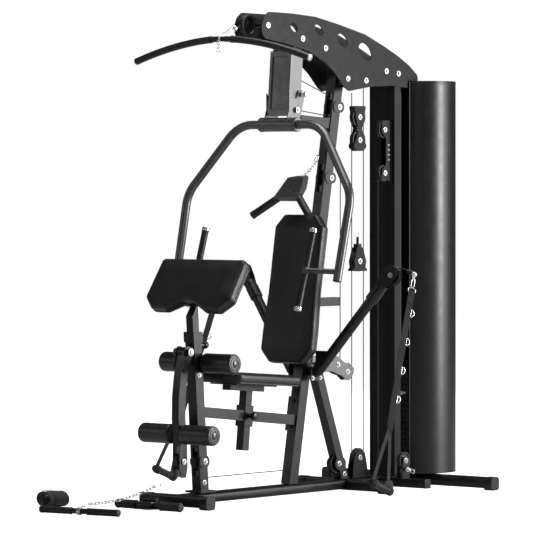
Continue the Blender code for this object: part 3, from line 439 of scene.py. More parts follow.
def coat(name, dark, light, rough, wear_and_edge_highlight=True, peel=0.03, gloss=0.45, metal=0.0):
    """Powder coat: fine orange peel, uneven sheen, and lighter edges that are partly rubbed wear and partly a
    painted edge highlight.
    """
    s = Shader(name, rough, metal)
    cloud = s.noise(3.5, 4.0, 0.6)
    base = s.mix(s.ramp(cloud, 0.0, 1.0), dark, light)
    if wear_and_edge_highlight:
        # Lighter edges: the rubbed-wear colour also serves as a painted highlight along every edge.
        rub_and_highlight = s.math("MULTIPLY", s.edges(0.0022), s.ramp(s.noise(60.0, 5.0, 0.7), 0.0, 0.55, 0.48, 0.72))
        base = s.mix(rub_and_highlight, base, (0.16, 0.16, 0.165))
    s.colour(base)
    s.patchy(26.0, 4.0, rough - 0.03, rough + 0.04)
    s.bump(s.noise(950.0, 2.0), peel, 0.0004)
    s.give(Specular_IOR_Level=gloss)
    return s.mat


def vinyl():
    """Upholstery vinyl: pebbled grain, soft creases, a faint sheen."""
    s = Shader("black_vinyl", 0.5)
    cell = s.pattern("ShaderNodeTexVoronoi", Scale=620.0, feature="DISTANCE_TO_EDGE")
    grain = s.ramp(cell.outputs["Distance"], 0.0, 1.0, 0.0, 0.28)
    s.mottle(7.0, 4.0, (0.0052, 0.0052, 0.0056), (0.0088, 0.0088, 0.0092))
    s.patchy(18.0, 3.0, 0.31, 0.4)
    s.bump(grain, 0.28, 0.0005)
    s.bump(s.noise(38.0, 3.0, 0.6), 0.1, 0.0016)
    s.give(Sheen_Weight=0.03, Specular_IOR_Level=0.55)
    return s.mat


def foam():
    """Closed cell foam: open pores and a skin that is matt in patches."""
    s = Shader("roller_foam", 0.62)
    pores = s.pattern("ShaderNodeTexVoronoi", Scale=900.0)
    s.mottle(22.0, 4.0, (0.01, 0.01, 0.0105), (0.019, 0.019, 0.02))
    s.patchy(55.0, 4.0, 0.28, 0.4)
    s.give(Specular_IOR_Level=0.65)
    s.bump(pores.outputs["Distance"], 0.22, 0.0006)
    s.bump(s.noise(70.0, 3.0), 0.1, 0.001)
    return s.mat


def rubber(name, ribs=0.0, rough=0.62):
    """Moulded rubber or nylon, with optional fine knurling."""
    s = Shader(name, rough)
    s.mottle(30.0, 4.0, (0.008, 0.008, 0.0085), (0.017, 0.017, 0.018))
    s.patchy(80.0, 3.0, rough - 0.08, rough + 0.08)
    if ribs:
        a = s.pattern("ShaderNodeTexWave", Scale=ribs, bands_direction="DIAGONAL")
        b = s.pattern("ShaderNodeTexWave", Scale=ribs, bands_direction="Z")
        s.bump(s.math("MULTIPLY", a.outputs["Fac"], b.outputs["Fac"]), 0.15, 0.0005)
    s.bump(s.noise(1200.0, 2.0), 0.08, 0.0003)
    return s.mat


def webbing():
    """Woven strap: a two-way weave, with painted shade darkening the gaps between yarns."""
    s = Shader("strap_webbing", 0.85)
    warp = s.pattern("ShaderNodeTexWave", Scale=260.0, bands_direction="X")
    weft = s.pattern("ShaderNodeTexWave", Scale=260.0, bands_direction="Z")
    weave = s.math("MAXIMUM", warp.outputs["Fac"], weft.outputs["Fac"])
    # Painted shade: the low gaps of the weave take the darker colour, the yarn crests the lighter one.
    s.colour(s.mix(weave, (0.004, 0.004, 0.0042), (0.013, 0.013, 0.0135)))
    s.bump(weave, 0.5, 0.0006)
    s.bump(s.noise(700.0, 3.0), 0.15, 0.0004)
    s.give(Sheen_Weight=0.15)
    return s.mat


def bright(name, colour, rough, brushed):
    """Plated metal: drawn streaks in colour, roughness and bump, a little colour drift, and a painted glow, an
    emission in its own colour that stands in for bright reflections.
    """
    s = Shader(name, rough, 1.0)
    streak = s.noise(220.0, 4.0, 0.6, stretch=(1.0, 0.06, 1.0)) if brushed else s.noise(40.0, 3.0)
    dim = tuple(c * 0.82 for c in colour)
    s.colour(s.mix(s.ramp(streak, 0.0, 1.0), dim, colour))
    s.rough(s.ramp(streak, rough - 0.05, rough + 0.09))
    s.bump(streak, 0.05 if brushed else 0.02, 0.0003)
    # Painted glow: the metal emits in its own colour, more on plain chrome than on brushed zinc, lightening it
    # as a reflection would.
    s.give(Emission_Color=(*colour, 1.0), Emission_Strength=0.05 if brushed else 0.16)
    return s.mat


def cast_iron():
    """Cast plate: rough skin with darker hollows."""
    s = Shader("plate_iron", 0.55, 0.1)
    s.mottle(40.0, 5.0, (0.012, 0.012, 0.0125), (0.03, 0.03, 0.031))
    s.patchy(90.0, 4.0, 0.45, 0.68)
    s.bump(s.noise(420.0, 5.0, 0.7), 0.3, 0.0008)
    return s.mat


BLACK = coat("black_powder_coat", (0.0085, 0.0085, 0.009), (0.0125, 0.0125, 0.0132), 0.3)
GREY = coat("grey_powder_coat", (0.125, 0.122, 0.126), (0.145, 0.142, 0.147), 0.34, wear_and_edge_highlight=False, peel=0.006,
            gloss=1.0, metal=0.7)
# A matt black coat whose colour is also a shade darker than the black powder coat: painted shade that keeps
# the top plates, pulley cheeks and the rear column's lit side dark.
SHEET = coat("matt_coat_painted_darker", (0.0065, 0.0065, 0.007), (0.0095, 0.0095, 0.01), 0.5, gloss=0.22)
GLOSS = coat("tower_gloss_coat", (0.008, 0.008, 0.0085), (0.0105, 0.0105, 0.011), 0.32, wear_and_edge_highlight=False, peel=0.02)
VINYL = vinyl()
FOAM = foam()
RUBBER = rubber("black_rubber")
GRIP = rubber("grip_rubber", ribs=90.0, rough=0.4)
NYLON = rubber("pulley_nylon", rough=0.42)
CAP = rubber("cap_plastic", rough=0.36)
END = coat("roller_end_satin", (0.035, 0.035, 0.037), (0.06, 0.06, 0.063), 0.26, wear_and_edge_highlight=False, gloss=0.7)
WEB = webbing()
THREAD = rubber("sewing_thread", rough=0.75)
# Plated metals: their emission is a painted glow standing in for reflections.
CHROME = bright("chrome_plate", (0.78, 0.78, 0.8), 0.13, False)
ZINC = bright("zinc_steel", (0.58, 0.58, 0.6), 0.28, True)
IRON = cast_iron()


# ---------------------------------------------------------------- small hardware
def bolt(at, axis, size=0.0075, height=0.005):
    """A hexagon head on a washer, its crown chamfered."""
    axis = Vector(axis).normalized()
    at = Vector(at)
    washer = lathe([(0, 0), (size * 1.55, 0), (size * 1.6, 0.0003), (size * 1.6, 0.0012),
                    (size * 1.5, 0.0016), (0, 0.0016)], at, axis, 24)
    head = lathe([(0, 0.0), (size, 0.0), (size, height * 0.8), (size * 0.86, height), (0, height)],
                 at + axis * 0.0014, axis, 6)
    dimple = lathe([(0, 0), (size * 0.5, 0), (size * 0.46, 0.0004), (0, 0.0002)],
                   at + axis * (height + 0.0012), axis, 16)
    return [washer, head, dimple]


def pair(half, y, z, size, x=0.0):
    """A bolt place on each side of x, facing outwards."""
    return [((x + s * half, y, z), (s, 0, 0), size) for s in SIDES]


def bolts(name, body, places):
    """One piece of zinc bolts; places is a list of (point, axis, size)."""
    parts = []
    for at, axis, size in places:
        parts += bolt(at, axis, size)
    return put(parts, name, body, ZINC, smooth=30)


def wheel_parts(centre, radius, groove, width=0.01, axis=(1, 0, 0)):
    """A grooved pulley with a dished web and a hub."""
    w = width
    r = radius
    profile = [(0.0066, -w * 0.95), (0.013, -w * 0.95), (0.0145, -w * 0.7), (r * 0.62, -w * 0.45),
               (r * 0.78, -w * 0.55), (r * 0.86, -w), (r - 0.0012, -w), (r, -w + 0.0014),
               (groove + 0.0016, -0.004), (groove, -0.0024), (groove, 0.0024), (groove + 0.0016, 0.004),
               (r, w - 0.0014), (r - 0.0012, w), (r * 0.86, w), (r * 0.78, w * 0.55), (r * 0.62, w * 0.45),
               (0.0145, w * 0.7), (0.013, w * 0.95), (0.0066, w * 0.95)]
    return lathe(profile, centre, axis, 48, ring=True)


def soften(outline, radius, count=5):
    """A closed outline with its corners rounded."""
    pts = [Vector((p[0], p[1], 0)) for p in outline]
    out = []
    for i, b in enumerate(pts):
        corner = fillet([pts[i - 1], b, pts[(i + 1) % len(pts)]], radius, count)
        out += [(q.x, q.y) for q in corner[1:-1]]
    return out


def lozenge(points, radius):
    """The outline of a slot: two half circles joined by straights."""
    (y0, z0), (y1, z1) = points
    count = 14
    a = math.atan2(z1 - z0, y1 - y0)
    out = [(y1 + radius * math.cos(a + t), z1 + radius * math.sin(a + t))
           for t in [-math.pi / 2 + math.pi * i / count for i in range(count + 1)]]
    out += [(y0 + radius * math.cos(a + t), z0 + radius * math.sin(a + t))
            for t in [math.pi / 2 + math.pi * i / count for i in range(count + 1)]]
    return out


def basis(x, y, z, at):
    """A frame with the given axes, its origin at a point."""
    m = Matrix((Vector(x).normalized(), Vector(y).normalized(), Vector(z).normalized())).transposed().to_4x4()
    m.translation = Vector(at)
    return m


def stadium(centre, u, v, half, radius, wire):
    """A long closed link: two half circles joined by straights, in the plane of u and v."""
    centre, u, v = Vector(centre), Vector(u).normalized(), Vector(v).normalized()
    pts = []
    for end, start in ((1, -90), (-1, 90)):
        for i in range(9):
            t = math.radians(start + 22.5 * i)
            pts.append(centre + u * (end * half + radius * math.cos(t)) + v * (radius * math.sin(t)))
    return sweep(pts, circle(wire, 10), tuple(u.cross(v)), closed=True)


def snap_hook(tip, tail, side):
    """A plated snap hook: a bent loop, its gate, and a swivel eye."""
    tip, tail = Vector(tip), Vector(tail)
    u = (tip - tail).normalized()
    n = (tip - tail).length
    v = (Vector(side) - u * u.dot(Vector(side))).normalized()
    body = stadium(tail + u * (0.64 * n), u, v, 0.22 * n, 0.15 * n, 0.0022)
    gate = rod(tail + u * (0.46 * n) + v * (0.15 * n), tail + u * (0.82 * n) + v * (0.13 * n), 0.0026, 12)
    eye = stadium(tail + u * (0.17 * n), u, u.cross(v), 0.04 * n, 0.11 * n, 0.002)
    neck = rod(tail + u * (0.27 * n), tail + u * (0.36 * n), 0.0042, 14)
    return [body, gate, eye, neck]


def ball_at(at, axis, r=0.01):
    """The plated ball that stops a cable end."""
    turns = [math.radians(t) for t in range(-60, 61, 20)]
    profile = [(0, -r)] + [(r * math.cos(t), r * math.sin(t)) for t in turns] + [(0, r)]
    return [lathe(profile, at, axis, 28)]


def chain(start, end, sag, pitch=0.0172):
    """Round wire links, each a quarter turn from the last, hanging in a shallow curve."""
    start, end = Vector(start), Vector(end)
    count = max(2, round((end - start).length / pitch))
    pts = []
    for i in range(count + 1):
        t = i / count
        pts.append(start.lerp(end, t) - Vector((0, 0, 4 * sag * t * (1 - t))))
    links = []
    for i, (a, b) in enumerate(zip(pts, pts[1:])):
        u = (b - a).normalized()
        side = u.cross(Vector((0, 0, 1))).normalized()
        up = side.cross(u)
        v = (side + up) if i % 2 else (side - up)
        links.append(stadium((a + b) / 2, u, v, 0.0045, 0.0062, 0.0017))
    return links


def grip(a, b, radius, ribs=True):
    """A moulded hand grip: end flanges and shallow ribs between them."""
    a, b = Vector(a), Vector(b)
    n = (b - a).length
    profile = [(0, 0), (radius * 0.9, 0), (radius * 1.06, 0.0012), (radius * 1.06, 0.005), (radius, 0.0066)]
    if ribs:
        step = 0.0052
        count = int((n - 0.02) / step)
        for i in range(count):
            z = 0.01 + i * step
            profile += [(radius, z), (radius, z + 0.0034), (radius - 0.0006, z + 0.004),
                        (radius - 0.0006, z + 0.0048)]
    profile += [(radius, n - 0.0066), (radius * 1.06, n - 0.005), (radius * 1.06, n - 0.0012),
                (radius * 0.9, n), (0, n)]
    return lathe(profile, a, b - a, 28)


def plug(at, axis, radius, length=0.006):
    """A domed end plug."""
    return lathe([(0, -0.004), (radius * 0.9, -0.004), (radius, 0), (radius, length * 0.5),
                  (radius * 0.9, length * 0.85), (radius * 0.6, length), (0, length)], at, axis, 28)


# ---------------------------------------------------------------- upholstery
def grow(obj, cap):
    """Blows the closed skin up with cloth pressure, holding its flat back still."""
    base = [v.co.copy() for v in obj.data.vertices]
    low = min(v.z for v in base)
    pin = obj.vertex_groups.new(name="pin")
    pin.add([i for i, v in enumerate(base) if v.z < low + 0.004], 1.0, "REPLACE")
    mod = obj.modifiers.new("cloth", "CLOTH")
    cloth = mod.settings
    cloth.use_pressure = True
    cloth.uniform_pressure_force = PRESSURE
    cloth.effector_weights.gravity = 0.0
    cloth.vertex_group_mass = "pin"
    cloth.tension_stiffness = 12.0
    cloth.compression_stiffness = 12.0
    cloth.bending_stiffness = 0.4
    cloth.quality = 4
    scene = bpy.context.scene
    for f in range(1, BLOW_FRAMES + 1):
        scene.frame_set(f)
    graph = bpy.context.evaluated_depsgraph_get()
    shaped = [v.co.copy() for v in obj.evaluated_get(graph).data.vertices]
    obj.modifiers.clear()
    rest = np.array(base)
    step = np.array(shaped) - rest
    edges = np.array([e.vertices[:] for e in obj.data.edges])
    links = np.bincount(edges.ravel(), minlength=len(rest))[:, None]
    for _ in range(TAUT):
        total = np.zeros_like(step)
        np.add.at(total, edges[:, 0], step[edges[:, 1]])
        np.add.at(total, edges[:, 1], step[edges[:, 0]])
        step = 0.5 * step + 0.5 * total / links
    far = np.linalg.norm(step, axis=1)
    step *= (np.minimum(far, cap) / np.maximum(far, 1e-9))[:, None]
    obj.data.vertices.foreach_set("co", (rest + step).astype(np.float32).ravel())
    obj.data.update()
    scene.frame_set(1)


def within(points, outline):
    """True for each point inside the outline."""
    inside = np.zeros(len(points), bool)
    x, y = points[:, 0], points[:, 1]
    for (x0, y0), (x1, y1) in zip(outline, outline[1:] + outline[:1]):
        if y0 != y1:
            cross = (y0 > y) != (y1 > y)
            inside ^= cross & (x < (x1 - x0) * (y - y0) / (y1 - y0) + x0)
    return inside


def nearest(points, outline):
    """How far each point lies from the outline in its own plane, and the nearest place on it."""
    best = np.full(len(points), 1e9)
    found = np.zeros_like(points)
    for a, b in zip(outline, outline[1:] + outline[:1]):
        a, b = np.array(a), np.array(b)
        d = b - a
        t = np.clip(((points - a) @ d) / max(d @ d, 1e-12), 0, 1)
        spot = a + t[:, None] * d
        far = np.linalg.norm(points - spot, axis=1)
        closer = far < best
        best[closer] = far[closer]
        found[closer] = spot[closer]
    return best, found


def true_up(co, outline, low, top, radius):
    """Brings remeshed points back to the slab's exact walls and rounded rims."""
    flat = co[:, :2]
    far, spot = nearest(flat, outline)
    sign = np.where(within(flat, outline), 1.0, -1.0)
    outward = (spot - flat) * (sign / np.maximum(far, 1e-7))[:, None]
    d = far * sign
    z = co[:, 2]
    mid = np.clip(z, low + radius, top - radius)
    off = np.stack([np.minimum(d - radius, 0.0), z - mid], axis=1)
    size = np.maximum(np.linalg.norm(off, axis=1), 1e-9)
    off *= (radius / size)[:, None]
    rim = size > 0.3 * radius
    new_d = np.where((d < radius) & rim, radius + off[:, 0], d)
    new_z = np.where(rim, mid + off[:, 1], z)
    out = co.copy()
    out[:, :2] = flat + outward * (d - new_d)[:, None]
    out[:, 2] = new_z
    return out


def upholstered(node, body, outline, thick, place, corner, crown=0.004):
    """A vinyl pad: blown skin with rounded rims, a piped and stitched seam low on its side, a board behind."""
    shape = soften(outline, corner, 8)
    low, top, radius = BACK, thick - crown, RIM
    skin = bake(bevel(prism(shape, low, top, place=FLAT), radius, 4, 50))
    remesh = skin.modifiers.new("even", "REMESH")
    remesh.mode = "VOXEL"
    remesh.voxel_size = VOXEL
    bake(skin)
    rest = np.array([v.co for v in skin.data.vertices])
    grow(skin, crown * 1.2)
    swell = np.array([v.co for v in skin.data.vertices]) - rest
    free = np.clip(nearest(rest[:, :2], shape)[0] / CROWN_RUN, 0.0, 1.0)
    swell *= (0.1 + 0.9 * free * free * (3 - 2 * free))[:, None]
    shaped = true_up(rest, shape, low, top, radius) + swell
    skin.data.vertices.foreach_set("co", shaped.astype(np.float32).ravel())
    sub = skin.modifiers.new("fine", "SUBSURF")
    sub.levels = 1
    bake(skin)
    co = np.array([v.co for v in skin.data.vertices])
    nor = np.array([v.normal for v in skin.data.vertices])
    near = nearest(co[:, :2], shape)[0]
    seam_z = low + SEAM_HEIGHT * (top - low)
    tuck = 0.0012 * np.exp(-((co[:, 2] - seam_z) / 0.003) ** 2) * np.clip(1 - near / 0.008, 0, 1)
    ripple = np.array([noise.noise(Vector(c) * 26.0) + 0.5 * noise.noise(Vector(c) * 60.0) for c in co])
    pull = np.clip(1 - near / 0.03, 0, 1)
    co += nor * (ripple * (0.00008 + 0.0003 * pull) - tuck)[:, None]
    skin.data.vertices.foreach_set("co", co.astype(np.float32).ravel())
    bm = bmesh.new()
    bm.from_mesh(skin.data)
    tree = BVHTree.FromBMesh(bm)
    bm.free()
    wide = inset(soften(outline, corner, 12), -0.006)
    welt_line = [tree.find_nearest(p)[0] for p in evenly([Vector((x, y, seam_z)) for x, y in wide], 0.01)]
    welt = sweep(welt_line, circle(0.0016, 8), closed=True)
    stitches = []
    for lift in (-0.0045, 0.0045):
        run = evenly([Vector((x, y, seam_z + lift)) for x, y in wide], STITCH_STEP)
        for a, b in zip(run, run[1:] + run[:1]):
            p, q = tree.find_nearest(a)[0], tree.find_nearest(a.lerp(b, STITCH_FILL))[0]
            if (q - p).length > 0.002:
                stitches.append(rod(p, q, 0.00055, 6, 0.0002))
    thread = merge("thread", stitches)
    board = prism(soften(inset(outline, 0.007), corner * 0.9), 0.0, 0.0055, place=FLAT)
    bake(bevel(board, 0.0012))
    for piece, part, mat, soft in ((skin, "_skin", VINYL, 180), (welt, "_welt", VINYL, 180),
                                   (thread, "_stitching", THREAD, 180), (board, "_board", CAP, 40)):
        piece.data.transform(place)
        put(piece, node + part, body, mat, soft, replaces=(node,) if piece is skin else ())


def evenly(points, step):
    """Points set evenly round a closed loop."""
    loop_points = points + [points[0]]
    lengths = [0.0]
    for a, b in zip(loop_points, loop_points[1:]):
        lengths.append(lengths[-1] + (b - a).length)
    count = int(lengths[-1] / step)
    out = []
    k = 0
    for i in range(count):
        s = lengths[-1] * i / count
        while lengths[k + 1] < s:
            k += 1
        t = (s - lengths[k]) / max(lengths[k + 1] - lengths[k], 1e-9)
        out.append(loop_points[k].lerp(loop_points[k + 1], t))
    return out


def inset(outline, by):
    """The outline moved inwards by a distance, for gently curved shapes."""
    pts = [Vector((p[0], p[1])) for p in outline]
    area = sum(a.x * b.y - b.x * a.y for a, b in zip(pts, pts[1:] + pts[:1]))
    sign = 1 if area > 0 else -1
    out = []
    for i, p in enumerate(pts):
        d0 = (p - pts[i - 1]).normalized()
        d1 = (pts[(i + 1) % len(pts)] - p).normalized()
        n0 = Vector((-d0.y, d0.x)) * sign
        n1 = Vector((-d1.y, d1.x)) * sign
        n = (n0 + n1)
        n = n / max(n.length_squared / 2, 0.4)
        out.append((p.x + n.x * by, p.y + n.y * by))
    return out


def make_pads():
    # Arm desk: a slab that faces the seat, notched at the middle of its low edge.
    high, low = Vector((0, -0.42, 1.06)), Vector((0, -0.56, 0.85))
    down = (low - high).normalized()
    out = Vector((0, down.z, -down.y))
    thick = 0.058
    w, h = 0.235, (high - low).length / 2
    place = basis((1, 0, 0), -down, out, (high + low) / 2 - out * thick)
    outline = [(-w, h), (w, h), (w + 0.005, -h + 0.055), (w - 0.05, -h), (0.11, -h), (0.024, -h + 0.045),
               (-0.024, -h + 0.045), (-0.11, -h), (-w + 0.05, -h), (-w - 0.005, -h + 0.055)]
    upholstered("preacher_pad", "preacher", outline, thick, place, 0.02)
    # Seat.
    slope = -0.0755
    run, up = Vector((0, 1, slope)).normalized(), Vector((0, -slope, 1)).normalized()
    thick = 0.048
    place = basis((1, 0, 0), run, up, Vector((0, -0.135, 0.574 + slope * 0.245)) - up * thick)
    w, h = 0.14, 0.245
    outline = [(-w, -h + 0.05), (-0.075, -h), (0.075, -h), (w, -h + 0.05), (w, h - 0.04), (w - 0.03, h),
               (-w + 0.03, h), (-w, h - 0.04)]
    upholstered("seat_pad", "seat", outline, thick, place, 0.03)
    # Backrest: cut corners and a waist at its middle.
    up = Vector((0, 0.1702, 1)).normalized()
    out = Vector((0, -up.z, up.y))
    thick = 0.055
    place = basis((1, 0, 0), up, out, Vector((0, 0.166, 0.9105)) + up * 0.006 - out * thick)
    w, h, c = 0.145, 0.33, 0.055
    waist = 0.136
    outline = [(-w, -h + c), (-w + c, -h), (w - c, -h), (w, -h + c), (w, -0.185), (waist, -0.02),
               (waist, 0.06), (w - 0.008, h - c), (w - c, h), (-w + c, h), (-w + 0.008, h - c),
               (-waist, 0.06), (-waist, -0.02), (-w, -0.185)]
    upholstered("backrest_pad", "backrest", outline, thick, place, 0.024)


def make_rollers():
    skin = [(0.0135, 0.0004), (0.0345, 0.0), (0.039, 0.0014), (0.0415, 0.0046), (0.0425, 0.01),
            (0.0421, 0.05), (0.0419, 0.084), (0.0421, 0.118), (0.0425, 0.156), (0.0415, 0.163),
            (0.039, 0.1666), (0.0345, 0.168), (0.0135, 0.1676)]
    cap = [(0, 0.1655), (0.029, 0.1655), (0.0302, 0.1668), (0.0302, 0.169), (0.029, 0.1704), (0.022, 0.1708),
           (0.02, 0.1694), (0.0158, 0.1694), (0.0146, 0.1724), (0.0105, 0.1742), (0, 0.1746)]
    disc = [(0, -0.0012), (0.03, -0.0012), (0.0305, 0), (0, 0.0012)]
    for level, y, z in (("upper", -0.445, 0.611), ("lower", -0.58, 0.313)):
        for side, tag in zip(SIDES, ("left", "right")):
            body = "roller_%s_%s" % (level, tag)
            at, axis = (side * 0.0325, y, z), (side, 0, 0)
            put(lathe(skin, at, axis, 64, ring=True), body + "_foam", body, FOAM, 50, (body,))
            put([lathe(cap, at, axis, 48), lathe(disc, at, axis, 40)], body + "_cap", body, END, 30)


# ---------------------------------------------------------------- press arm
def make_press():
    half = [(0.232, 0.088, 1.633), (0.464, 0.01, 1.33), (0.456, -0.075, 0.96)]
    path = [(-x, y, z) for x, y, z in half[::-1]] + half
    tubes, chromed, rubbers = [tube(fillet(path, 0.15, 14), 0.019, 32)], [], []
    cap = [(0, -0.008), (0.016, -0.008), (0.0166, -0.007), (0.0166, 0.006), (0.015, 0.0085), (0, 0.0092)]
    for side in SIDES:
        stub = Vector((side * 0.3085, -0.108, 1.004))
        tubes.append(rod((side * 0.458, -0.07, 1.000), stub, 0.012))
        top, end = Vector((side * 0.306, -0.05, 1.18)), Vector((side * 0.306, -0.158, 0.835))
        d = (end - top).normalized()
        tubes.append(rod(top + d * 0.001, end - d * 0.001, 0.0105))
        foot = (Vector(half[2]) - Vector(half[1])).normalized()
        foot.x *= side
        rubbers.append(plug((side * half[2][0], half[2][1], half[2][2]), foot, 0.0186, 0.004))
        for at, way in ((top, -1), (end, 1)):
            chromed.append(lathe(cap, at + d * (way * -0.006), d * way, 32))
        joint = (stub - top).dot(d)
        length = (end - top).length
        gap, margin = 0.016, 0.012
        rubbers.append(grip(top + d * margin, top + d * (joint - gap), 0.015))
        rubbers.append(grip(top + d * (joint + gap), top + d * (length - margin), 0.015))
        tubes.append(rod(top + d * (joint - 0.0155), top + d * (joint + 0.0155), 0.0145, 28))
    body = "press_lower"
    put(tubes, "press_handle_tube", body, GREY, replaces=("press_handle",))
    put(rubbers, "press_grip_sleeves", body, GRIP, 30, ("press_grip_left", "press_grip_right"))
    put(chromed, "press_grip_caps", body, CHROME)
    collar = [(0.0195, 0), (0.03, 0), (0.0322, 0.002), (0.0322, 0.01), (0.03, 0.012), (0.0195, 0.012)]
    put([lathe(collar, (side * 0.093, 0.088, 1.633), (side, 0, 0), 40, ring=True) for side in SIDES],
        "press_sleeve_collars", body, GREY)
    knob = lathe([(0, 0), (0.01, 0), (0.0115, 0.003), (0.0085, 0.01), (0.009, 0.014), (0.013, 0.018),
                  (0.014, 0.022), (0.013, 0.027), (0, 0.028)], (0.07, 0.162, 1.767), (1, 0, 0), 32)
    shaft = rod((0.0606, 0.162, 1.767), (0.076, 0.162, 1.767), 0.0052, 20)
    put([knob, shaft], "press_pin_knob", "press_pin", CHROME, replaces=("press_pin",))
    bolts("press_yoke_bolts", body, pair(0.0772, 0.122, 1.697, 0.0085))
    bolts("press_column_bolts", "press_column", pair(0.072, 0.145, 2.01, 0.009))


# ---------------------------------------------------------------- hand pieces
def lat_point(x):
    """A point on the lat bar's centre line, which drops towards its ends."""
    return Vector((x, -0.3, 1.998 - 0.082 * (abs(x) / 0.47) ** 1.8))


def make_lat_bar():
    put(tube([lat_point(-0.487 + 0.974 * i / 48) for i in range(49)], 0.0125, 28),
        "lat_bar_tube", "lat_bar", BLACK, 60, ("lat_bar",))
    flange = [(0.0122, -0.004), (0.0158, -0.004), (0.0162, 0), (0.0158, 0.004), (0.0122, 0.004)]
    sleeves, ends = [], []
    for side in SIDES:
        pts = [lat_point(side * (0.06 + 0.429 * i / 40)) for i in range(41)]
        sleeves.append(sweep(pts, circle(0.0152, 28), (0, 1, 0)))
        sleeves.append(lathe(flange, pts[0], (pts[0] - pts[1]).normalized(), 28, ring=True))
        ends.append(plug(pts[-1], (pts[-1] - pts[-2]).normalized(), 0.0152, 0.006))
    put(sleeves, "lat_bar_grips", "lat_bar", GRIP)
    put(ends, "lat_bar_end_plugs", "lat_bar", ZINC)
    band = orbit(lat_point(0.0), (0, 1, 0), (0, 0, 1), 0.015, 0.015, 24)
    parts = [sweep(band, rounded(0.016, 0.0032, 0.0012), (1, 0, 0), closed=True)]
    parts += chain((0.0, -0.302, 2.018), (0.0, -0.262, 2.033), 0.0, 0.0158)
    parts += snap_hook((0.0, -0.224, 2.044), (0.0, -0.272, 2.03), (0, 0, 1))
    parts += ball_at((0, -0.213, 2.0465), (0, 1, 0.1), 0.0125)
    parts += chain((0.0, -0.3165, 2.006), (0.0, -0.322, 1.944), 0.0, 0.0158)
    put(parts, "lat_bar_clip", "lat_bar", CHROME)


def make_v_handle():
    outline = soften([(0.262, 1.412), (0.2, 1.402), (0.128, 1.312), (0.15, 1.296), (0.232, 1.352)], 0.008, 3)
    n = len(outline)
    verts = [(side * (0.026 + 0.046 * (0.262 - y) / 0.134), y, z) for side in SIDES for y, z in outline]
    faces = [tuple(range(n)), tuple(range(2 * n - 1, n - 1, -1))]
    faces += [(i, (i + 1) % n, n + (i + 1) % n, n + i) for i in range(n)]
    put(bevel(solid(verts, faces), 0.0025, 3, 40), "v_handle_shell", "v_handle", GREY, 35,
        ("v_handle",))
    sleeves, bands = [], []
    for s in SIDES:
        a, b = Vector((s * 0.03, 0.168, 1.334)), Vector((s * 0.165, 0.095, 1.232))
        d = (b - a).normalized()
        sleeves.append(grip(a, b - d * 0.008, 0.0168, ribs=False))
        bands.append(plug(b - d * 0.008, d, 0.0172, 0.009))
        bands.append(lathe([(0, -0.004), (0.019, -0.004), (0.0197, 0), (0.019, 0.004), (0, 0.004)], a, d, 28))
    put(sleeves, "v_handle_grips", "v_handle", FOAM, 30)
    put(bands, "v_handle_ends", "v_handle", CAP)
    parts = snap_hook((0, 0.296, 1.43), (0, 0.252, 1.404), (1, 0, 0))
    parts.append(loop((0, 0.256, 1.408), (0, 1, 0.6), (0, -0.6, 1), 0.011, 0.011, 0.0022))
    parts += chain((0, 0.292, 1.428), (0, 0.33, 1.462), 0.0)
    parts += snap_hook((0, 0.352, 1.5), (0, 0.332, 1.456), (1, 0, 0))
    put(parts, "v_handle_clip", "v_handle", ZINC)


def make_straps():
    for side, tag in zip(SIDES, ("left", "right")):
        make_strap(side, "strap_" + tag)


def make_strap(side, body):
    """A tape from its hook down to two legs that hold the hand bar, with D rings along one edge."""
    top, hand = Vector((side * 0.545, 0.333, 0.925)), Vector((side * 0.616, 0.02, 0.085))
    fork_at, thick = 0.64, 0.0026
    d = (hand - top).normalized()
    split = top + d * fork_at
    wide = Vector((0.42, 0.91, 0))
    wide = (wide - d * wide.dot(d)).normalized()
    face = d.cross(wide).normalized()
    along = Vector((0, d.z, -d.y)).normalized()
    out = d.cross(along).normalized()
    tape, narrow = rounded(0.029, thick, 0.0011), rounded(0.022, thick, 0.0011)
    bow = [top + d * (0.016 + 0.632 * i / 24) + face * (0.0016 * math.sin(i * 0.9)) for i in range(25)]
    web = [sweep(bow, tape, tuple(face)),
           sweep([top + d * 0.016 + face * 0.0028, top + d * 0.075 + face * 0.0028], tape, tuple(face))]
    for s in SIDES:
        foot = hand + along * (s * 0.055)
        leg = (foot - split).normalized()
        path = [split - leg * 0.012 + (foot - split + leg * 0.012) * (i / 14)
                + along * (s * 0.004 * math.sin(math.pi * i / 14)) for i in range(15)]
        web.append(sweep(path, narrow, tuple(leg.cross(along).normalized())))
        web.append(sweep(orbit(foot - along * 0.011, out, d, 0.0178, 0.0178, 20), rounded(thick, 0.02, 0.001),
                         tuple(along), closed=True))
    put(web, body + "_webbing", body, WEB, replaces=(body,))
    reach = along * 0.063
    bar = [grip(hand - reach, hand + reach, 0.0158), plug(hand + reach, along, 0.015),
           plug(hand - reach, -along, 0.015)]
    put(bar, body + "_grip", body, GRIP, 30)
    metal = []
    for s in (0.115, 0.245, 0.375, 0.505):
        at = top + d * s + wide * 0.0125 + face * 0.0008
        metal.append(tube(orbit(at, wide, d, 0.015, 0.0165, 13, -math.pi / 2, math.pi, last=True),
                          0.0026, 12))
        metal.append(rod(at - d * 0.0175, at + d * 0.0175, 0.0022, 12))
    metal.append(stadium(top + d * 0.012, wide, d, 0.0085, 0.0095, 0.0021))
    metal += snap_hook(top - d * 0.002, top - d * 0.052, tuple(wide))
    metal += ball_at(top - d * 0.06, tuple(d), 0.0125)
    put(metal, body + "_rings", body, CHROME)
    rows = []
    for s in (0.03, 0.036, 0.066, 0.072, 0.6, 0.606):
        for k in range(7):
            at = top + d * s + wide * (-0.0105 + 0.0035 * k)
            for lift in (0.0044, -0.0016):
                rows.append(rod(at + face * lift - wide * 0.0011, at + face * lift + wide * 0.0011,
                                0.0005, 6, 0.0002))
    put(rows, body + "_stitches", body, THREAD, 0)


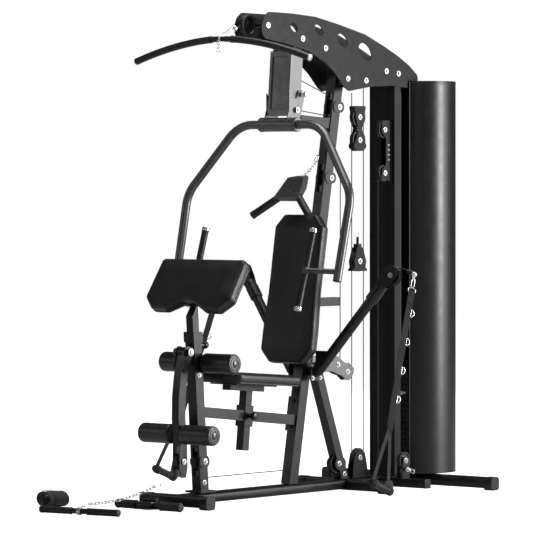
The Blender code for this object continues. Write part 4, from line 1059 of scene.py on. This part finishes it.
def make_low_bar():
    a, b = Vector((-0.292, -1.124, 0.0155)), Vector((0.1, -1.065, 0.0155))
    d = (b - a).normalized()
    put(rod(a + d * 0.004, b - d * 0.004, 0.0118, 28), "low_bar_tube", "low_bar", BLACK,
        replaces=("low_bar",))
    ends = [grip(a + d * 0.006, a + d * 0.158, 0.0146), grip(b - d * 0.006, b - d * 0.158, 0.0146),
            plug(a + d * 0.006, -d, 0.015), plug(b - d * 0.006, d, 0.015)]
    put(ends, "low_bar_grips", "low_bar", GRIP, 30)
    band = orbit((a + b) / 2, (-d.y, d.x, 0), (0, 0, 1), 0.0142, 0.0142, 24)
    metal = [sweep(band, rounded(0.003, 0.018, 0.0012), tuple(d), closed=True)]
    metal += snap_hook((-0.093, -1.036, 0.042), (-0.096, -1.082, 0.034), (0, 0, 1))
    metal += chain((-0.092, -1.044, 0.042), (-0.01, -0.728, 0.097), 0.016)
    metal += snap_hook((-0.006, -0.69, 0.104), (-0.011, -0.734, 0.096), (0, 0, 1))
    put(metal, "low_bar_chain", "low_bar", ZINC, replaces=("low_chain",))


def make_ankle_cuff():
    """A padded oval band, with a strap and its rings outside it."""
    turn = Matrix.Translation((-0.44, -0.89, 0.035)) @ Matrix.Rotation(math.radians(70), 4, "Z")
    across = turn.to_3x3()
    axis = tuple(across @ Vector((1, 0, 0)))

    def oval(ry, rz, count, x=0.0, **part):
        return [turn @ p for p in orbit((x, 0, 0), (0, 1, 0), (0, 0, 1), ry, rz, count, **part)]

    band = [sweep(oval(0.062, 0.029, 48), rounded(0.0085, 0.09, 0.0038), axis, closed=True)]
    for x in (-0.043, 0.043):
        band.append(sweep(oval(0.064, 0.0305, 48, x), circle(0.0032, 10), axis, closed=True))
    root = turn @ Vector((0.012, -0.05, -0.016))
    tip = root + Vector((-0.062, -0.04, -0.002))
    tongue = [root, root.lerp(tip, 0.5) + Vector((0.004, -0.005, 0.002)), tip]
    band.append(sweep(tongue, rounded(0.007, 0.042, 0.003)))
    put(band, "ankle_cuff_band", "frame", WEB, 60, ("ankle_cuff",))
    strip = oval(0.068, 0.0335, 36, start=math.radians(40), turn=math.radians(280), last=True)
    strip.append(strip[-1] + (strip[-1] - strip[-2]).normalized() * 0.034)
    put([sweep(strip, rounded(0.0024, 0.038, 0.001), axis)], "ankle_cuff_strap", "frame", WEB, 60)
    metal = [loop(turn @ Vector((0, 0.066, 0.01)), across @ Vector((0, 1, 0)), axis, 0.014, 0.02, 0.0022),
             stadium(turn @ Vector((0, 0.05, 0.03)), axis, across @ Vector((0, 1, -0.6)), 0.014, 0.008,
                     0.002)]
    put(metal, "ankle_cuff_rings", "frame", CHROME)


def make_foot_rest():
    """A ribbed tread, a cross bar on a saddle block, and two sleeved pegs."""
    y, z = -0.77, 0.0235
    tread = soften([(-0.06, -0.618), (-0.06, -0.76), (-0.035, -0.815), (0.035, -0.815), (0.06, -0.76),
                    (0.06, -0.618)], 0.01, 4)
    parts = [bevel(prism(tread, 0.009, 0.0155, place=FLAT), 0.001),
             box((-0.03, -0.792, 0.012), (0.03, -0.748, 0.04), round_by=0.005),
             rod((-0.172, y, z), (0.172, y, z), 0.012, 28),
             rod((-0.038, -0.76, 0.048), (0.038, -0.76, 0.048), 0.011, 28, 0.002)]
    put(parts, "foot_rest_frame", "frame", BLACK, replaces=("foot_rest",))
    parts = []
    for s in SIDES:
        parts.append(grip((s * 0.068, y, z), (s * 0.176, y, z), 0.019))
        parts.append(plug((s * 0.176, y, z), (s, 0, 0), 0.018))
    for i in range(7):
        rib = -0.64 - i * 0.014
        parts.append(box((-0.05, rib - 0.0028, 0.015), (0.05, rib + 0.0028, 0.018), round_by=0.001))
    put(parts, "foot_rest_rubber", "frame", RUBBER, 30)


# ---------------------------------------------------------------- side arms
def make_arm(side, tag):
    """The fixed tube of a side arm; returns its end and the way it points."""
    foot, knee = Vector((side * 0.0634, 0.264, 0.549)), Vector((side * 0.076, 0.264, 0.549))
    end = Vector((side * 0.3625, 0.33, 0.91))
    d = (end - knee).normalized()
    arm = tube([foot] + fillet([foot, knee, end], 0.012, 6)[1:-1] + [end], 0.0225, 32)
    collar = lathe([(0.022, -0.06), (0.027, -0.06), (0.0285, -0.058), (0.0285, -0.002), (0.027, 0),
                    (0.013, 0), (0.013, -0.004), (0.022, -0.004)], end, d, 40, ring=True)
    face, thick = 0.0603, 0.006
    flange = soften([(0.228, 0.508), (0.3, 0.508), (0.3, 0.59), (0.228, 0.59)], 0.01, 5)
    flange = bevel(prism(flange, *sorted((side * face, side * (face + thick)))), 0.001)
    near, far = side * 0.062, side * 0.142
    rib = solid([(x, y, z) for y in (0.262, 0.2685) for x, z in ((near, 0.515), (near, 0.64), (far, 0.64))],
                [(0, 1, 2), (5, 4, 3), (0, 3, 4, 1), (1, 4, 5, 2), (2, 5, 3, 0)])
    pivot = rod(end - d * 0.01, end + d * 0.034, 0.012)
    put([arm, collar, flange, pivot, rib], "side_arm_%s_tube" % tag, "frame", BLACK,
        replaces=("side_arm_" + tag,))
    corners = ((0.237, 0.52), (0.291, 0.52), (0.237, 0.578))
    spots = [((side * (face + thick), *at), (side, 0, 0), 0.0065) for at in corners]
    bolts("side_arm_%s_bolts" % tag, "frame", spots)
    return end, d


def make_arm_head(side, tag, end, d):
    """The turning head: two teardrop cheeks on a cap, with a wheel between them, and the cable it guides."""
    body = "arm_head_" + tag
    y_axis = (Vector((0, 1, 0)) - d * d.y).normalized()
    place = basis(y_axis, d, y_axis.cross(d).normalized(), end + d * 0.0006)
    parts = [lathe([(0.0127, 0.0), (0.0255, 0.0), (0.0268, 0.002), (0.0268, 0.024), (0.024, 0.03),
                    (0.0127, 0.031)], end + d * 0.0006, d, 40, ring=True)]
    inner, outer = 0.0135, 0.0182
    teardrop = [(0.006, -0.02), (0.05, -0.029), (0.098, -0.034), (0.128, -0.018), (0.133, 0.02),
                (0.108, 0.04), (0.066, 0.038), (0.03, 0.024), (0.006, 0.02)]
    cheek = soften([(a, side * b) for a, b in teardrop], 0.02, 6)
    for s in SIDES:
        parts.append(bevel(prism(cheek, *sorted((s * inner, s * outer)), place=place), 0.0012))
    parts.append(rod(place @ Vector((-0.0145, 0.03, 0)), place @ Vector((0.0145, 0.03, 0)), 0.01, 20))
    put(parts, body + "_fork", body, GLOSS, 35, (body,))
    hub = (0.092, side * 0.012)
    centre = place @ Vector((0, *hub))
    put(wheel_parts(centre, 0.043, 0.0355, 0.0115, tuple(y_axis)), body + "_wheel", body, NYLON)
    bolts(body + "_bolts", body,
          [(place @ Vector((s * outer, *hub)), tuple(y_axis * s), 0.0078) for s in SIDES])
    ball = Vector((side * 0.5403, 0.3539, 0.9811))
    start = centre + Vector((0, 0, 0.031)) + (ball - centre).normalized() * 0.012
    bend = fillet([start, start.lerp(ball, 0.45) + Vector((0, 0, 0.012)), ball], 0.05, 8)
    last = ball - bend[-2]
    stop = lathe([(0, -0.016), (0.0075, -0.016), (0.0115, -0.004), (0.0115, 0.008), (0.007, 0.013),
                  (0, 0.013)], ball - last.normalized() * 0.024, tuple(last), 24)
    put([tube(bend, 0.0024, 12), stop], "arm_cable_" + tag, "frame", RUBBER)


def make_side_arms():
    for side, tag in zip(SIDES, ("left", "right")):
        make_arm_head(side, tag, *make_arm(side, tag))


# ---------------------------------------------------------------- weight tower
def make_shroud():
    centre, radius, wall, half_open = 1.064, 0.18, 0.003, 0.0815
    edge = math.asin(half_open / radius)

    def ring(r, a0, a1, count):
        turns = [a0 + (a1 - a0) * i / count for i in range(count + 1)]
        return [(r * math.cos(t), centre + r * math.sin(t)) for t in turns]

    a0, a1 = -math.pi / 2 + edge, 1.5 * math.pi - edge
    outer, inner = ring(radius, a0, a1, 128), ring(radius - wall, a0, a1, 128)
    shell = prism(outer + inner[::-1], 0.061, 1.834, place=FLAT)
    notch = [(-half_open, 0.99), (half_open, 0.99)]
    lid = bevel(prism(outer + notch, 1.8335, 1.8385, place=FLAT), 0.0015)
    hems = []
    for side in SIDES:
        x, y = side * (half_open + 0.002), centre - math.sqrt((radius - wall / 2) ** 2 - half_open ** 2)
        hems.append(sweep([(x, y, 0.0615), (x, y, 1.8335)], rounded(0.0075, 0.0075, 0.003), (0, 1, 0)))
    for z in (0.064, 1.83):
        lip = ring(radius - 0.0015, a0 + 0.02, a1 - 0.02, 96)
        hems.append(sweep([(x, y, z) for x, y in lip], rounded(0.005, 0.006, 0.0015)))
    put([shell, lid] + hems, "tower_shroud", "frame", GLOSS, 35, ("weight_shroud",))


def plate_slab(z, thick=0.0225):
    """One weight plate, its underside at z."""
    outline = soften([(-0.128, 0.98), (0.128, 0.98), (0.128, 1.11), (-0.128, 1.11)], 0.01, 4)
    return bevel(prism(outline, z, z + thick, place=FLAT), 0.0016)


def make_stack():
    floor, pitch, y, face = 0.135, 0.025, 1.045, 0.9805
    resting, count = 11, 15
    top = floor + count * pitch
    plates = [plate_slab(floor + i * pitch) for i in range(count)]
    put(plates[:resting], "stack_plates_resting", "frame", IRON, 30, ("weight_plates_resting",))
    head = box((-0.11, y - 0.03, top - 0.002), (0.11, y + 0.03, top + 0.022), round_by=0.004)
    put(plates[resting:] + [head], "stack_plates_lifted", "weight_lift", IRON, 30,
        ("weight_plates_lifted",))
    stem = [rod((0, y, top + 0.02), (0, y, top + 0.075), 0.0115, 28, 0.002),
            lathe([(0, 0), (0.02, 0), (0.02, 0.006), (0.017, 0.01), (0, 0.01)], (0, y, top + 0.022),
                  (0, 0, 1), 6)]
    put(stem, "stack_stem", "weight_lift", ZINC)
    ring = [(0.0048, 0), (0.0085, 0), (0.0085, 0.001), (0.0075, 0.0018), (0.0048, 0.0018)]
    dot = [(0, 0), (0.004, 0), (0.004, 0.0006), (0.003, 0.001), (0, 0.001)]
    for body, first, last in (("frame", 0, resting), ("weight_lift", resting, count)):
        rims = []
        for i in range(first, last):
            z = floor + i * pitch + 0.011
            rims.append(lathe(ring, (0, face, z), (0, -1, 0), 24, ring=True))
            rims += [lathe(dot, (x, face, z), (0, -1, 0), 16) for x in (-0.1, 0.1)]
        put(rims, "stack_hole_rims_" + body, body, CAP, 30)
    z = floor + resting * pitch + 0.011
    knob = lathe([(0, 0), (0.0085, 0), (0.01, 0.003), (0.0085, 0.008), (0.0125, 0.014), (0.014, 0.02),
                  (0.013, 0.027), (0.009, 0.03), (0, 0.03)], (0, 0.955, z), (0, -1, 0), 32)
    pin = rod((0, 0.95, z), (0, 1.075, z), 0.005, 20)
    put([knob, pin], "selector_pin_knob", "selector_pin", CHROME, replaces=("selector_pin",))
    rods = [rod((x, y, 0.064), (x, y, 1.8), 0.0095, 32) for x in (-0.085, 0.085)]
    put(rods, "guide_rod_pair", "frame", CHROME, replaces=("guide_rods",))
    ends = [box((-0.115, 0.946, 0.0608), (0.115, 1.149, 0.0724), round_by=0.002),
            box((-0.124, y - 0.022, 1.79), (0.124, y + 0.022, 1.815), round_by=0.002)]
    put(ends, "guide_rod_ends", "frame", BLACK, 30)
    buffer = [(0.0098, 0.0725), (0.019, 0.0725), (0.0215, 0.078), (0.0195, 0.086), (0.0215, 0.094),
              (0.0195, 0.102), (0.0215, 0.11), (0.0195, 0.118), (0.021, 0.128), (0.018, 0.1335),
              (0.0098, 0.1335)]
    put([lathe(buffer, (x, y, 0), (0, 0, 1), 32, ring=True) for x in (-0.085, 0.085)], "stack_buffers",
        "frame", RUBBER)


def make_top_plates():
    outline = soften([(-0.126, 2.06), (-0.112, 2.095), (-0.08, 2.12), (0.08, 2.118), (0.241, 2.108),
                      (0.4, 2.08), (0.591, 2.04), (0.737, 1.987), (0.83, 1.948), (0.912, 1.907),
                      (0.972, 1.865), (0.977, 1.841), (0.932, 1.804), (0.785, 1.814), (0.639, 1.808),
                      (0.477, 1.785), (0.448, 1.799), (0.38, 1.862), (0.316, 1.906), (0.194, 1.957),
                      (0.073, 1.98), (-0.099, 2.004), (-0.122, 2.022)], 0.03, 4)
    slots = ((0.094, 2.058, 0.024, 0.019), (0.266, 2.05, 0.03, 0.022), (0.431, 2.008, 0.036, 0.028),
             (0.592, 1.962, 0.046, 0.036))
    spots = ((-0.08, 2.062), (0.156, 2.01), (0.315, 1.972), (0.471, 1.84), (0.748, 1.879), (0.601, 1.834),
             (0.835, 1.87))
    inner, outer = 0.0735, 0.0785
    for side, tag in zip(SIDES, ("left", "right")):
        holes = [[(y + a * c, z + b * d - 0.35 * a * c) for c, d in circle(1, 36)] for y, z, a, b in slots]
        lo, hi = sorted((side * inner, side * outer))
        put(bevel(prism(outline, lo, hi, holes), 0.001), "top_plate_%s_sheet" % tag, "frame", SHEET,
            30, ("top_plate_" + tag,))
        places = [((side * 0.0783, y, z), (side, 0, 0), 0.0085) for y, z in spots]
        bolts("top_plate_%s_bolts" % tag, "frame", places)
    spacers = [rod((-0.0736, *at), (0.0736, *at), 0.0085, 20) for at in (spots[0], spots[4], spots[2])]
    put(spacers, "top_plate_spacers", "frame", BLACK)


# ---------------------------------------------------------------- pulleys and cable
def cheek_pair(outline, shift=0.0):
    """Two thin plates that stand either side of a wheel."""
    out = []
    for lo in (CHEEK, -CHEEK - CHEEK_THICK):
        out.append(bevel(prism(outline, shift + lo, shift + lo + CHEEK_THICK), 0.0008))
    return out


def wheels(name, places, radius, groove):
    """Wheels that stay with the frame, as one piece."""
    put([wheel_parts(at, radius, groove) for at in places], name, "frame", NYLON)


def make_loose_blocks():
    """The free pulleys, and the two blocks that hang on the cable."""
    for name, at, r, g in (("block_upper", (CABLE_Y, BLOCK_HIGH), 0.046, 0.039),
                           ("block_lower", (CABLE_Y, BLOCK_LOW), 0.046, 0.039),
                           ("hook", (CABLE_Y, HOOK_Z), 0.046, 0.039), ("top_front", TOP_FRONT, 0.046, 0.039),
                           ("top_rear", TOP_REAR, 0.046, 0.039), ("leg", LEG_WHEEL, 0.034, 0.028)):
        name = "pulley_" + name
        put(wheel_parts((0, *at), r, g), name + "_wheel", name, NYLON, replaces=(name,))
    bolts("floating_block_bolts", "floating_block",
          [spot for z in (BLOCK_HIGH, BLOCK_LOW) for spot in pair(SEAT, CABLE_Y, z, 0.008)])
    waisted = [(0.612, 1.52), (0.588, 1.54), (0.606, 1.572), (0.622, 1.6205), (0.604, 1.668), (0.6, 1.7),
               (0.592, 1.722), (0.678, 1.722), (0.67, 1.7), (0.666, 1.668), (0.648, 1.6205), (0.664, 1.572),
               (0.682, 1.54), (0.658, 1.52)]
    tie = box((-0.013, 0.622, 1.6165), (0.013, 0.648, 1.6245), round_by=0.001)
    put(cheek_pair(soften(waisted, 0.01, 4)) + [tie], "floating_block_cheeks", "floating_block", SHEET,
        30, ("floating_block",))
    bolts("hook_block_bolts", "hook_block", pair(SEAT, CABLE_Y, HOOK_Z, 0.0085))
    dome = [(0.586, 0.982), (0.586, 0.992), (0.598, 0.996), (0.592, 1.026), (0.606, 1.062), (0.612, 1.088),
            (0.658, 1.088), (0.664, 1.062), (0.678, 1.026), (0.672, 0.996), (0.684, 0.992), (0.684, 0.982)]
    crown = [box((-0.013, 0.621, 1.079), (0.013, 0.649, 1.104), round_by=0.002),
             rod((0, CABLE_Y, 1.1), (0, CABLE_Y, 1.135), 0.006, 20)]
    put(cheek_pair(soften(dome, 0.006, 4)) + crown, "hook_block_cheeks", "hook_block", SHEET, 30,
        ("hook_block",))
    put(stadium((0, CABLE_Y, 1.143), (0, 0, 1), (0, 1, 0), 0.004, 0.008, 0.0024),
        "hook_block_eye", "hook_block", CHROME, 60)


def make_brackets():
    """The brackets on the column, behind the seat and on the floor, each with its wheels."""
    y, hi, lo, x = 0.77, 1.616, 1.421, COLUMN_X
    outline = soften([(y - 0.03, lo - 0.038), (y + 0.01, lo - 0.03), (0.809, lo - 0.042), (0.809, hi + 0.042),
                      (y - 0.02, hi + 0.042), (y - 0.026, hi - 0.01), (y + 0.006, hi - 0.04),
                      (y + 0.006, lo + 0.04), (y - 0.022, lo + 0.014)], 0.008, 4)
    web = box((x - 0.022, 0.8057, lo - 0.045), (x + 0.022, 0.8117, hi + 0.045), round_by=0.0012)
    put(cheek_pair(outline, x) + [web], "column_bracket_cheeks", "frame", SHEET, 30,
        ("column_pulley_bracket",))
    wheels("column_bracket_wheels", [(x, y, z) for z in (hi, lo)], 0.038, 0.031)
    spots = [((x + s * SEAT, y, z), (s, 0, 0), 0.0078) for s in SIDES for z in (hi, lo)]
    spots += [((x + SEAT, y + 0.02, lo + 0.06 + 0.022 * i), (1, 0, 0), 0.0028) for i in range(4)]
    bolts("column_bracket_bolts", "frame", spots)
    ear = soften([(0.42, 0.598), (0.452, 0.606), (0.478, 0.606), (0.506, 0.586), (0.53, 0.574),
                  (0.556, 0.574), (0.59, 0.548), (0.588, 0.528), (0.562, 0.498), (0.536, 0.496),
                  (0.506, 0.518), (0.47, 0.528), (0.42, 0.546)], 0.009, 4)
    block = bevel(prism([(0.2842, 0.5404), (0.42, 0.5404), (0.455, 0.552), (0.455, 0.585), (0.38, 0.606),
                         (0.33, 0.612), (0.2825, 0.612), (0.279, 0.574)], -0.03, 0.03), 0.002)
    put(cheek_pair(ear) + [block], "seat_back_bracket_cheeks", "frame", GREY, 30,
        ("seat_back_pulley_bracket",))
    pivots = ((0.478, 0.568), (0.548, 0.535))
    wheels("seat_back_bracket_wheels", [(0, *at) for at in pivots], 0.036, 0.0295)
    spots = [((s * SEAT, *at), (s, 0, 0), 0.008) for s in SIDES for at in pivots]
    bolts("seat_back_bracket_bolts", "frame", spots)
    ear = soften([(0.582, 0.062), (0.69, 0.062), (0.684, 0.11), (0.668, 0.168), (0.635, 0.186),
                  (0.602, 0.168), (0.586, 0.11)], 0.012, 5)
    foot = box((-0.026, 0.574, 0.0585), (0.026, 0.696, 0.064), round_by=0.001)
    put(cheek_pair(ear) + [foot], "floor_bracket_cheeks", "frame", SHEET, 30,
        ("floor_pulley_bracket",))
    wheels("floor_bracket_wheel", [(0, CABLE_Y, FLOOR_Z)], 0.043, 0.036)
    bolts("floor_bracket_bolts", "frame", pair(SEAT, CABLE_Y, FLOOR_Z, 0.008))


def make_guide_wheels():
    """The wheels let into the upright, the front post and the brace foot, each between two round ears."""
    rows = []
    for z in (1.4, 1.715):
        hub = 0.155 + 0.181 * (z - 0.056) + 0.02
        rows.append((hub - 0.02, hub + 0.004, hub, z, 0.0254, 0.025, 0.034, 0.027))
    rows += [(-0.447, -0.44, -0.44, 0.19, 0.0254, 0.028, 0.042, 0.035),
             (0.492, 0.474, 0.474, 0.128, 0.0226, 0.028, 0.042, 0.035)]
    ears, discs, spots = [], [], []
    for y0, y1, hub, z, half, round_by, radius, groove in rows:
        for s in SIDES:
            lo, hi = sorted((s * half, s * (half + 0.004)))
            ears.append(bevel(prism(lozenge(((y0, z), (y1, z)), round_by), lo, hi), 0.0008))
        spots += pair(half + 0.004, hub, z, 0.0085)
        discs.append(wheel_parts((0, hub, z), radius, groove))
    put(ears, "upright_wheel_ears", "frame", BLACK, 30)
    put(discs, "upright_wheels", "frame", NYLON)
    bolts("upright_wheel_bolts", "frame", spots)


def make_rear_station():
    """The low pulley beside the tower, on a short cross tube from the base rail."""
    y, z, x = 0.776, 0.132, 0.15
    arm = box((0.031, y - 0.02, 0.013), (0.285, y + 0.02, 0.053), round_by=0.004)
    cap = box((0.2845, y - 0.0205, 0.0125), (0.29, y + 0.0205, 0.0535), round_by=0.002)
    ear = soften([(y - 0.026, 0.048), (y + 0.026, 0.048), (y + 0.024, z - 0.01), (y + 0.018, z + 0.018),
                  (y - 0.018, z + 0.018), (y - 0.024, z - 0.012)], 0.01, 5)
    put([arm] + cheek_pair(ear, x), "rear_station_frame", "frame", BLACK, 30)
    put(cap, "rear_station_cap", "frame", CAP, 30)
    put(wheel_parts((x, y, z), 0.038, 0.031), "rear_station_wheel", "frame", NYLON)
    bolts("rear_station_bolts", "frame", pair(SEAT, y, z, 0.008, x))
    plugs = [lathe([(0, -0.001), (0.0075, -0.001), (0.0085, 0.0006), (0.006, 0.0014), (0, 0.0014)],
                   (u, y - 0.02, 0.033), (0, -1, 0), 24) for u in (0.185, 0.225, 0.265)]
    put(plugs, "rear_station_plugs", "frame", CAP, 30)
    stop = lathe([(0, -0.014), (0.0075, -0.014), (0.0105, -0.004), (0.0105, 0.006), (0.007, 0.01), (0, 0.01)],
                 (x + 0.034, y - 0.026, 0.096), (1, -0.5, 0), 24)
    put(stop, "rear_station_stop", "frame", RUBBER)
    metal = ball_at((x + 0.056, y - 0.037, 0.0955), (1, -0.5, 0), 0.0115)
    metal += snap_hook((x + 0.112, y - 0.064, 0.09), (x + 0.062, y - 0.04, 0.095), (0, 0, 1))
    put(metal, "rear_station_hook", "frame", CHROME)


def arc(centre, radius, a0, a1):
    """Points of a cable's turn round a wheel, in the middle plane."""
    turns = [math.radians(a0 + (a1 - a0) * i / 14) for i in range(15)]
    return [(0.0, centre[0] + radius * math.cos(t), centre[1] + radius * math.sin(t)) for t in turns]


def make_cables():
    over = 0.039 + WIRE + 0.0006
    path = arc(TOP_FRONT, over, 180, 75) + arc(TOP_REAR, over, 75, 0) + arc((CABLE_Y, FLOOR_Z), over, 0, -180)
    path.append((0.0, CABLE_Y - over, 1.78))
    lead = TOP_FRONT[0] - over
    beside = 0.77 - 0.0334
    for name, paths, node in (("cable_main", [path], ("cable_tower",)),
                              ("cable_low_run", [[(0.0, -0.39, 0.119), (0.0, 0.1325, 0.119)]],
                               ("cable_low",)),
                              ("cable_front_end",
                               [[(0, lead, 2.062), (0, lead - 0.02, 2.052), (0, -0.196, 2.0485)]], ()),
                              ("cable_side_runs", [[(COLUMN_X, beside, 1.421), (COLUMN_X, beside, 0.15)],
                                                   [(0.0, 0.51, 0.56), (0.0, 0.512, 1.4)],
                                                   [(0.0, 0.196, 1.842), (0.0, 0.44, 1.762)],
                                                   [(0.0, 0.196, 1.7), (0.0, 0.452, 1.672)]], ())):
        put([tube(run, WIRE, 12) for run in paths], name, "frame", RUBBER, 60, node)


# ---------------------------------------------------------------- frame hardware
def make_frame_hardware():
    spots = []
    for side in SIDES:
        spots.append(((side * 0.0228, 0.515, 0.08), (side, 0, 0), 0.0075))
        for z in (0.56, 0.1):
            spots.append(((side * 0.0252, -0.437 - 0.0731 * (z - 0.05), z), (side, 0, 0), 0.0075))
    spots += [((s * 0.055, 0.835, 0.0668), (0, 0, 1), 0.007) for s in SIDES]
    bolts("frame_bolts", "frame", spots)
    bolts("leg_pivot_bolts", "frame", pair(0.0434, -0.549, 0.66, 0.0105))
    bolts("leg_fork_bolts", "leg_developer", pair(0.0238, *LEG_WHEEL, 0.008))
    knob = [(0, -0.004), (0.009, -0.004), (0.0098, 0), (0.0098, 0.01), (0.015, 0.014), (0.0165, 0.02),
            (0.0165, 0.03), (0.014, 0.036), (0.006, 0.038), (0, 0.038)]
    for body, at, axis in (("preacher_pin", (0, -0.436, 0.686), (0, 1, 0)),
                           ("seat_pin", (0.03, -0.148, 0.3708), (1, 0, 0))):
        put(lathe(knob, at, axis, 36), body + "_knob", body, CAP, replaces=(body,))


def dress_nodes():
    """Finishes the CAD nodes that stay: rounded edges and a procedural material each."""
    # The rear column takes the darker matt coat as painted shade on its lit side; the press column and yoke
    # take the grey coat.
    finish_and_shade = {"rear_column": SHEET, "press_column": GREY, "press_yoke": GREY}
    for name, obj in NODES.items():
        if obj.hide_render:
            continue
        obj.data.materials.clear()
        obj.data.materials.append(finish_and_shade.get(name, BLACK))
        weld = obj.modifiers.new("weld", "WELD")
        weld.merge_threshold = 0.00002
        bevel(obj, 0.0014, 2, 32)
        for poly in obj.data.polygons:
            poly.use_smooth = True
        smooth = obj.modifiers.new("shade", "WEIGHTED_NORMAL")
        smooth.keep_sharp = True
        smooth.weight = 80


make_pads()
make_rollers()
make_press()
make_lat_bar()
make_v_handle()
make_straps()
make_low_bar()
make_ankle_cuff()
make_foot_rest()
make_side_arms()
make_shroud()
make_stack()
make_top_plates()
make_loose_blocks()
make_brackets()
make_guide_wheels()
make_rear_station()
make_cables()
make_frame_hardware()
dress_nodes()


# ---------------------------------------------------------------- stage, light and camera
def make_stage():
    mesh = bpy.data.meshes.new("floor")
    corners = ((-1, -1), (1, -1), (1, 1), (-1, 1))
    mesh.from_pydata([(FLOOR_REACH * x, FLOOR_REACH * y, FLOOR_DROP) for x, y in corners], [], [(0, 1, 2, 3)])
    floor = link("floor", mesh)
    s = Shader("studio_floor", 0.9)
    s.colour((0.55, 0.55, 0.55))
    s.give(Specular_IOR_Level=0.1, Emission_Color=(1, 1, 1, 1))
    seen = s.node("ShaderNodeLightPath").outputs["Is Camera Ray"]
    s.wire(s.math("MULTIPLY", seen, FLOOR_GLOW), s.bsdf.inputs["Emission Strength"])
    mesh.materials.append(s.mat)


def make_light(name, at, size, power, aim=(0, 0, 1.0), mirrored=True):
    data = bpy.data.lights.new(name, "AREA")
    data.shape = "RECTANGLE"
    data.size, data.size_y = size
    data.energy = power
    obj = bpy.data.objects.new(name, data)
    obj.location = at
    obj.visible_glossy = mirrored
    obj.rotation_euler = (Vector(aim) - Vector(at)).to_track_quat("-Z", "Y").to_euler()
    bpy.context.scene.collection.objects.link(obj)


def make_world():
    """White to the camera, and a dimmer grey to everything else."""
    world = bpy.data.worlds.new("studio")
    bpy.context.scene.world = world
    world.use_nodes = True
    tree = world.node_tree
    back = tree.nodes["Background"]
    path = tree.nodes.new("ShaderNodeLightPath")
    level = tree.nodes.new("ShaderNodeMapRange")
    level.inputs["To Min"].default_value = WORLD_LIGHT
    level.inputs["To Max"].default_value = 1.0
    tree.links.new(path.outputs["Is Camera Ray"], level.inputs["Value"])
    tree.links.new(level.outputs["Result"], back.inputs["Strength"])
    back.inputs["Color"].default_value = (1, 1, 1, 1)


make_stage()
make_world()
make_light("key", (5.6, 5.2, 2.0), (3.6, 4.0), 130, aim=(0, 0.2, 1.0))
make_light("side", (7.0, 4.0, 2.4), (1.9, 4.0), 600)
make_light("back", (-5.0, 6.0, 3.0), (3.0, 3.0), 160, mirrored=False)
make_light("front", (7.5, -7.5, 4.5), (1.6, 1.6), 55)
make_light("fill", (-6.0, -6.0, 3.0), (2.5, 2.5), 28)
make_light("top", (0.0, 0.0, 6.0), (4.0, 4.0), 230)

camera = bpy.data.cameras.new("camera")
camera.lens = LENS
camera.sensor_width = SENSOR
camera.shift_y = RISE
camera.clip_end = 200.0
view = bpy.data.objects.new("camera", camera)
view.location = (DISTANCE * math.sin(AZIMUTH), -DISTANCE * math.cos(AZIMUTH) + SHIFT, EYE)
view.rotation_euler = (math.radians(90), 0, AZIMUTH)
bpy.context.scene.collection.objects.link(view)
bpy.context.scene.camera = view
bpy.context.scene.view_settings.view_transform = "Standard"
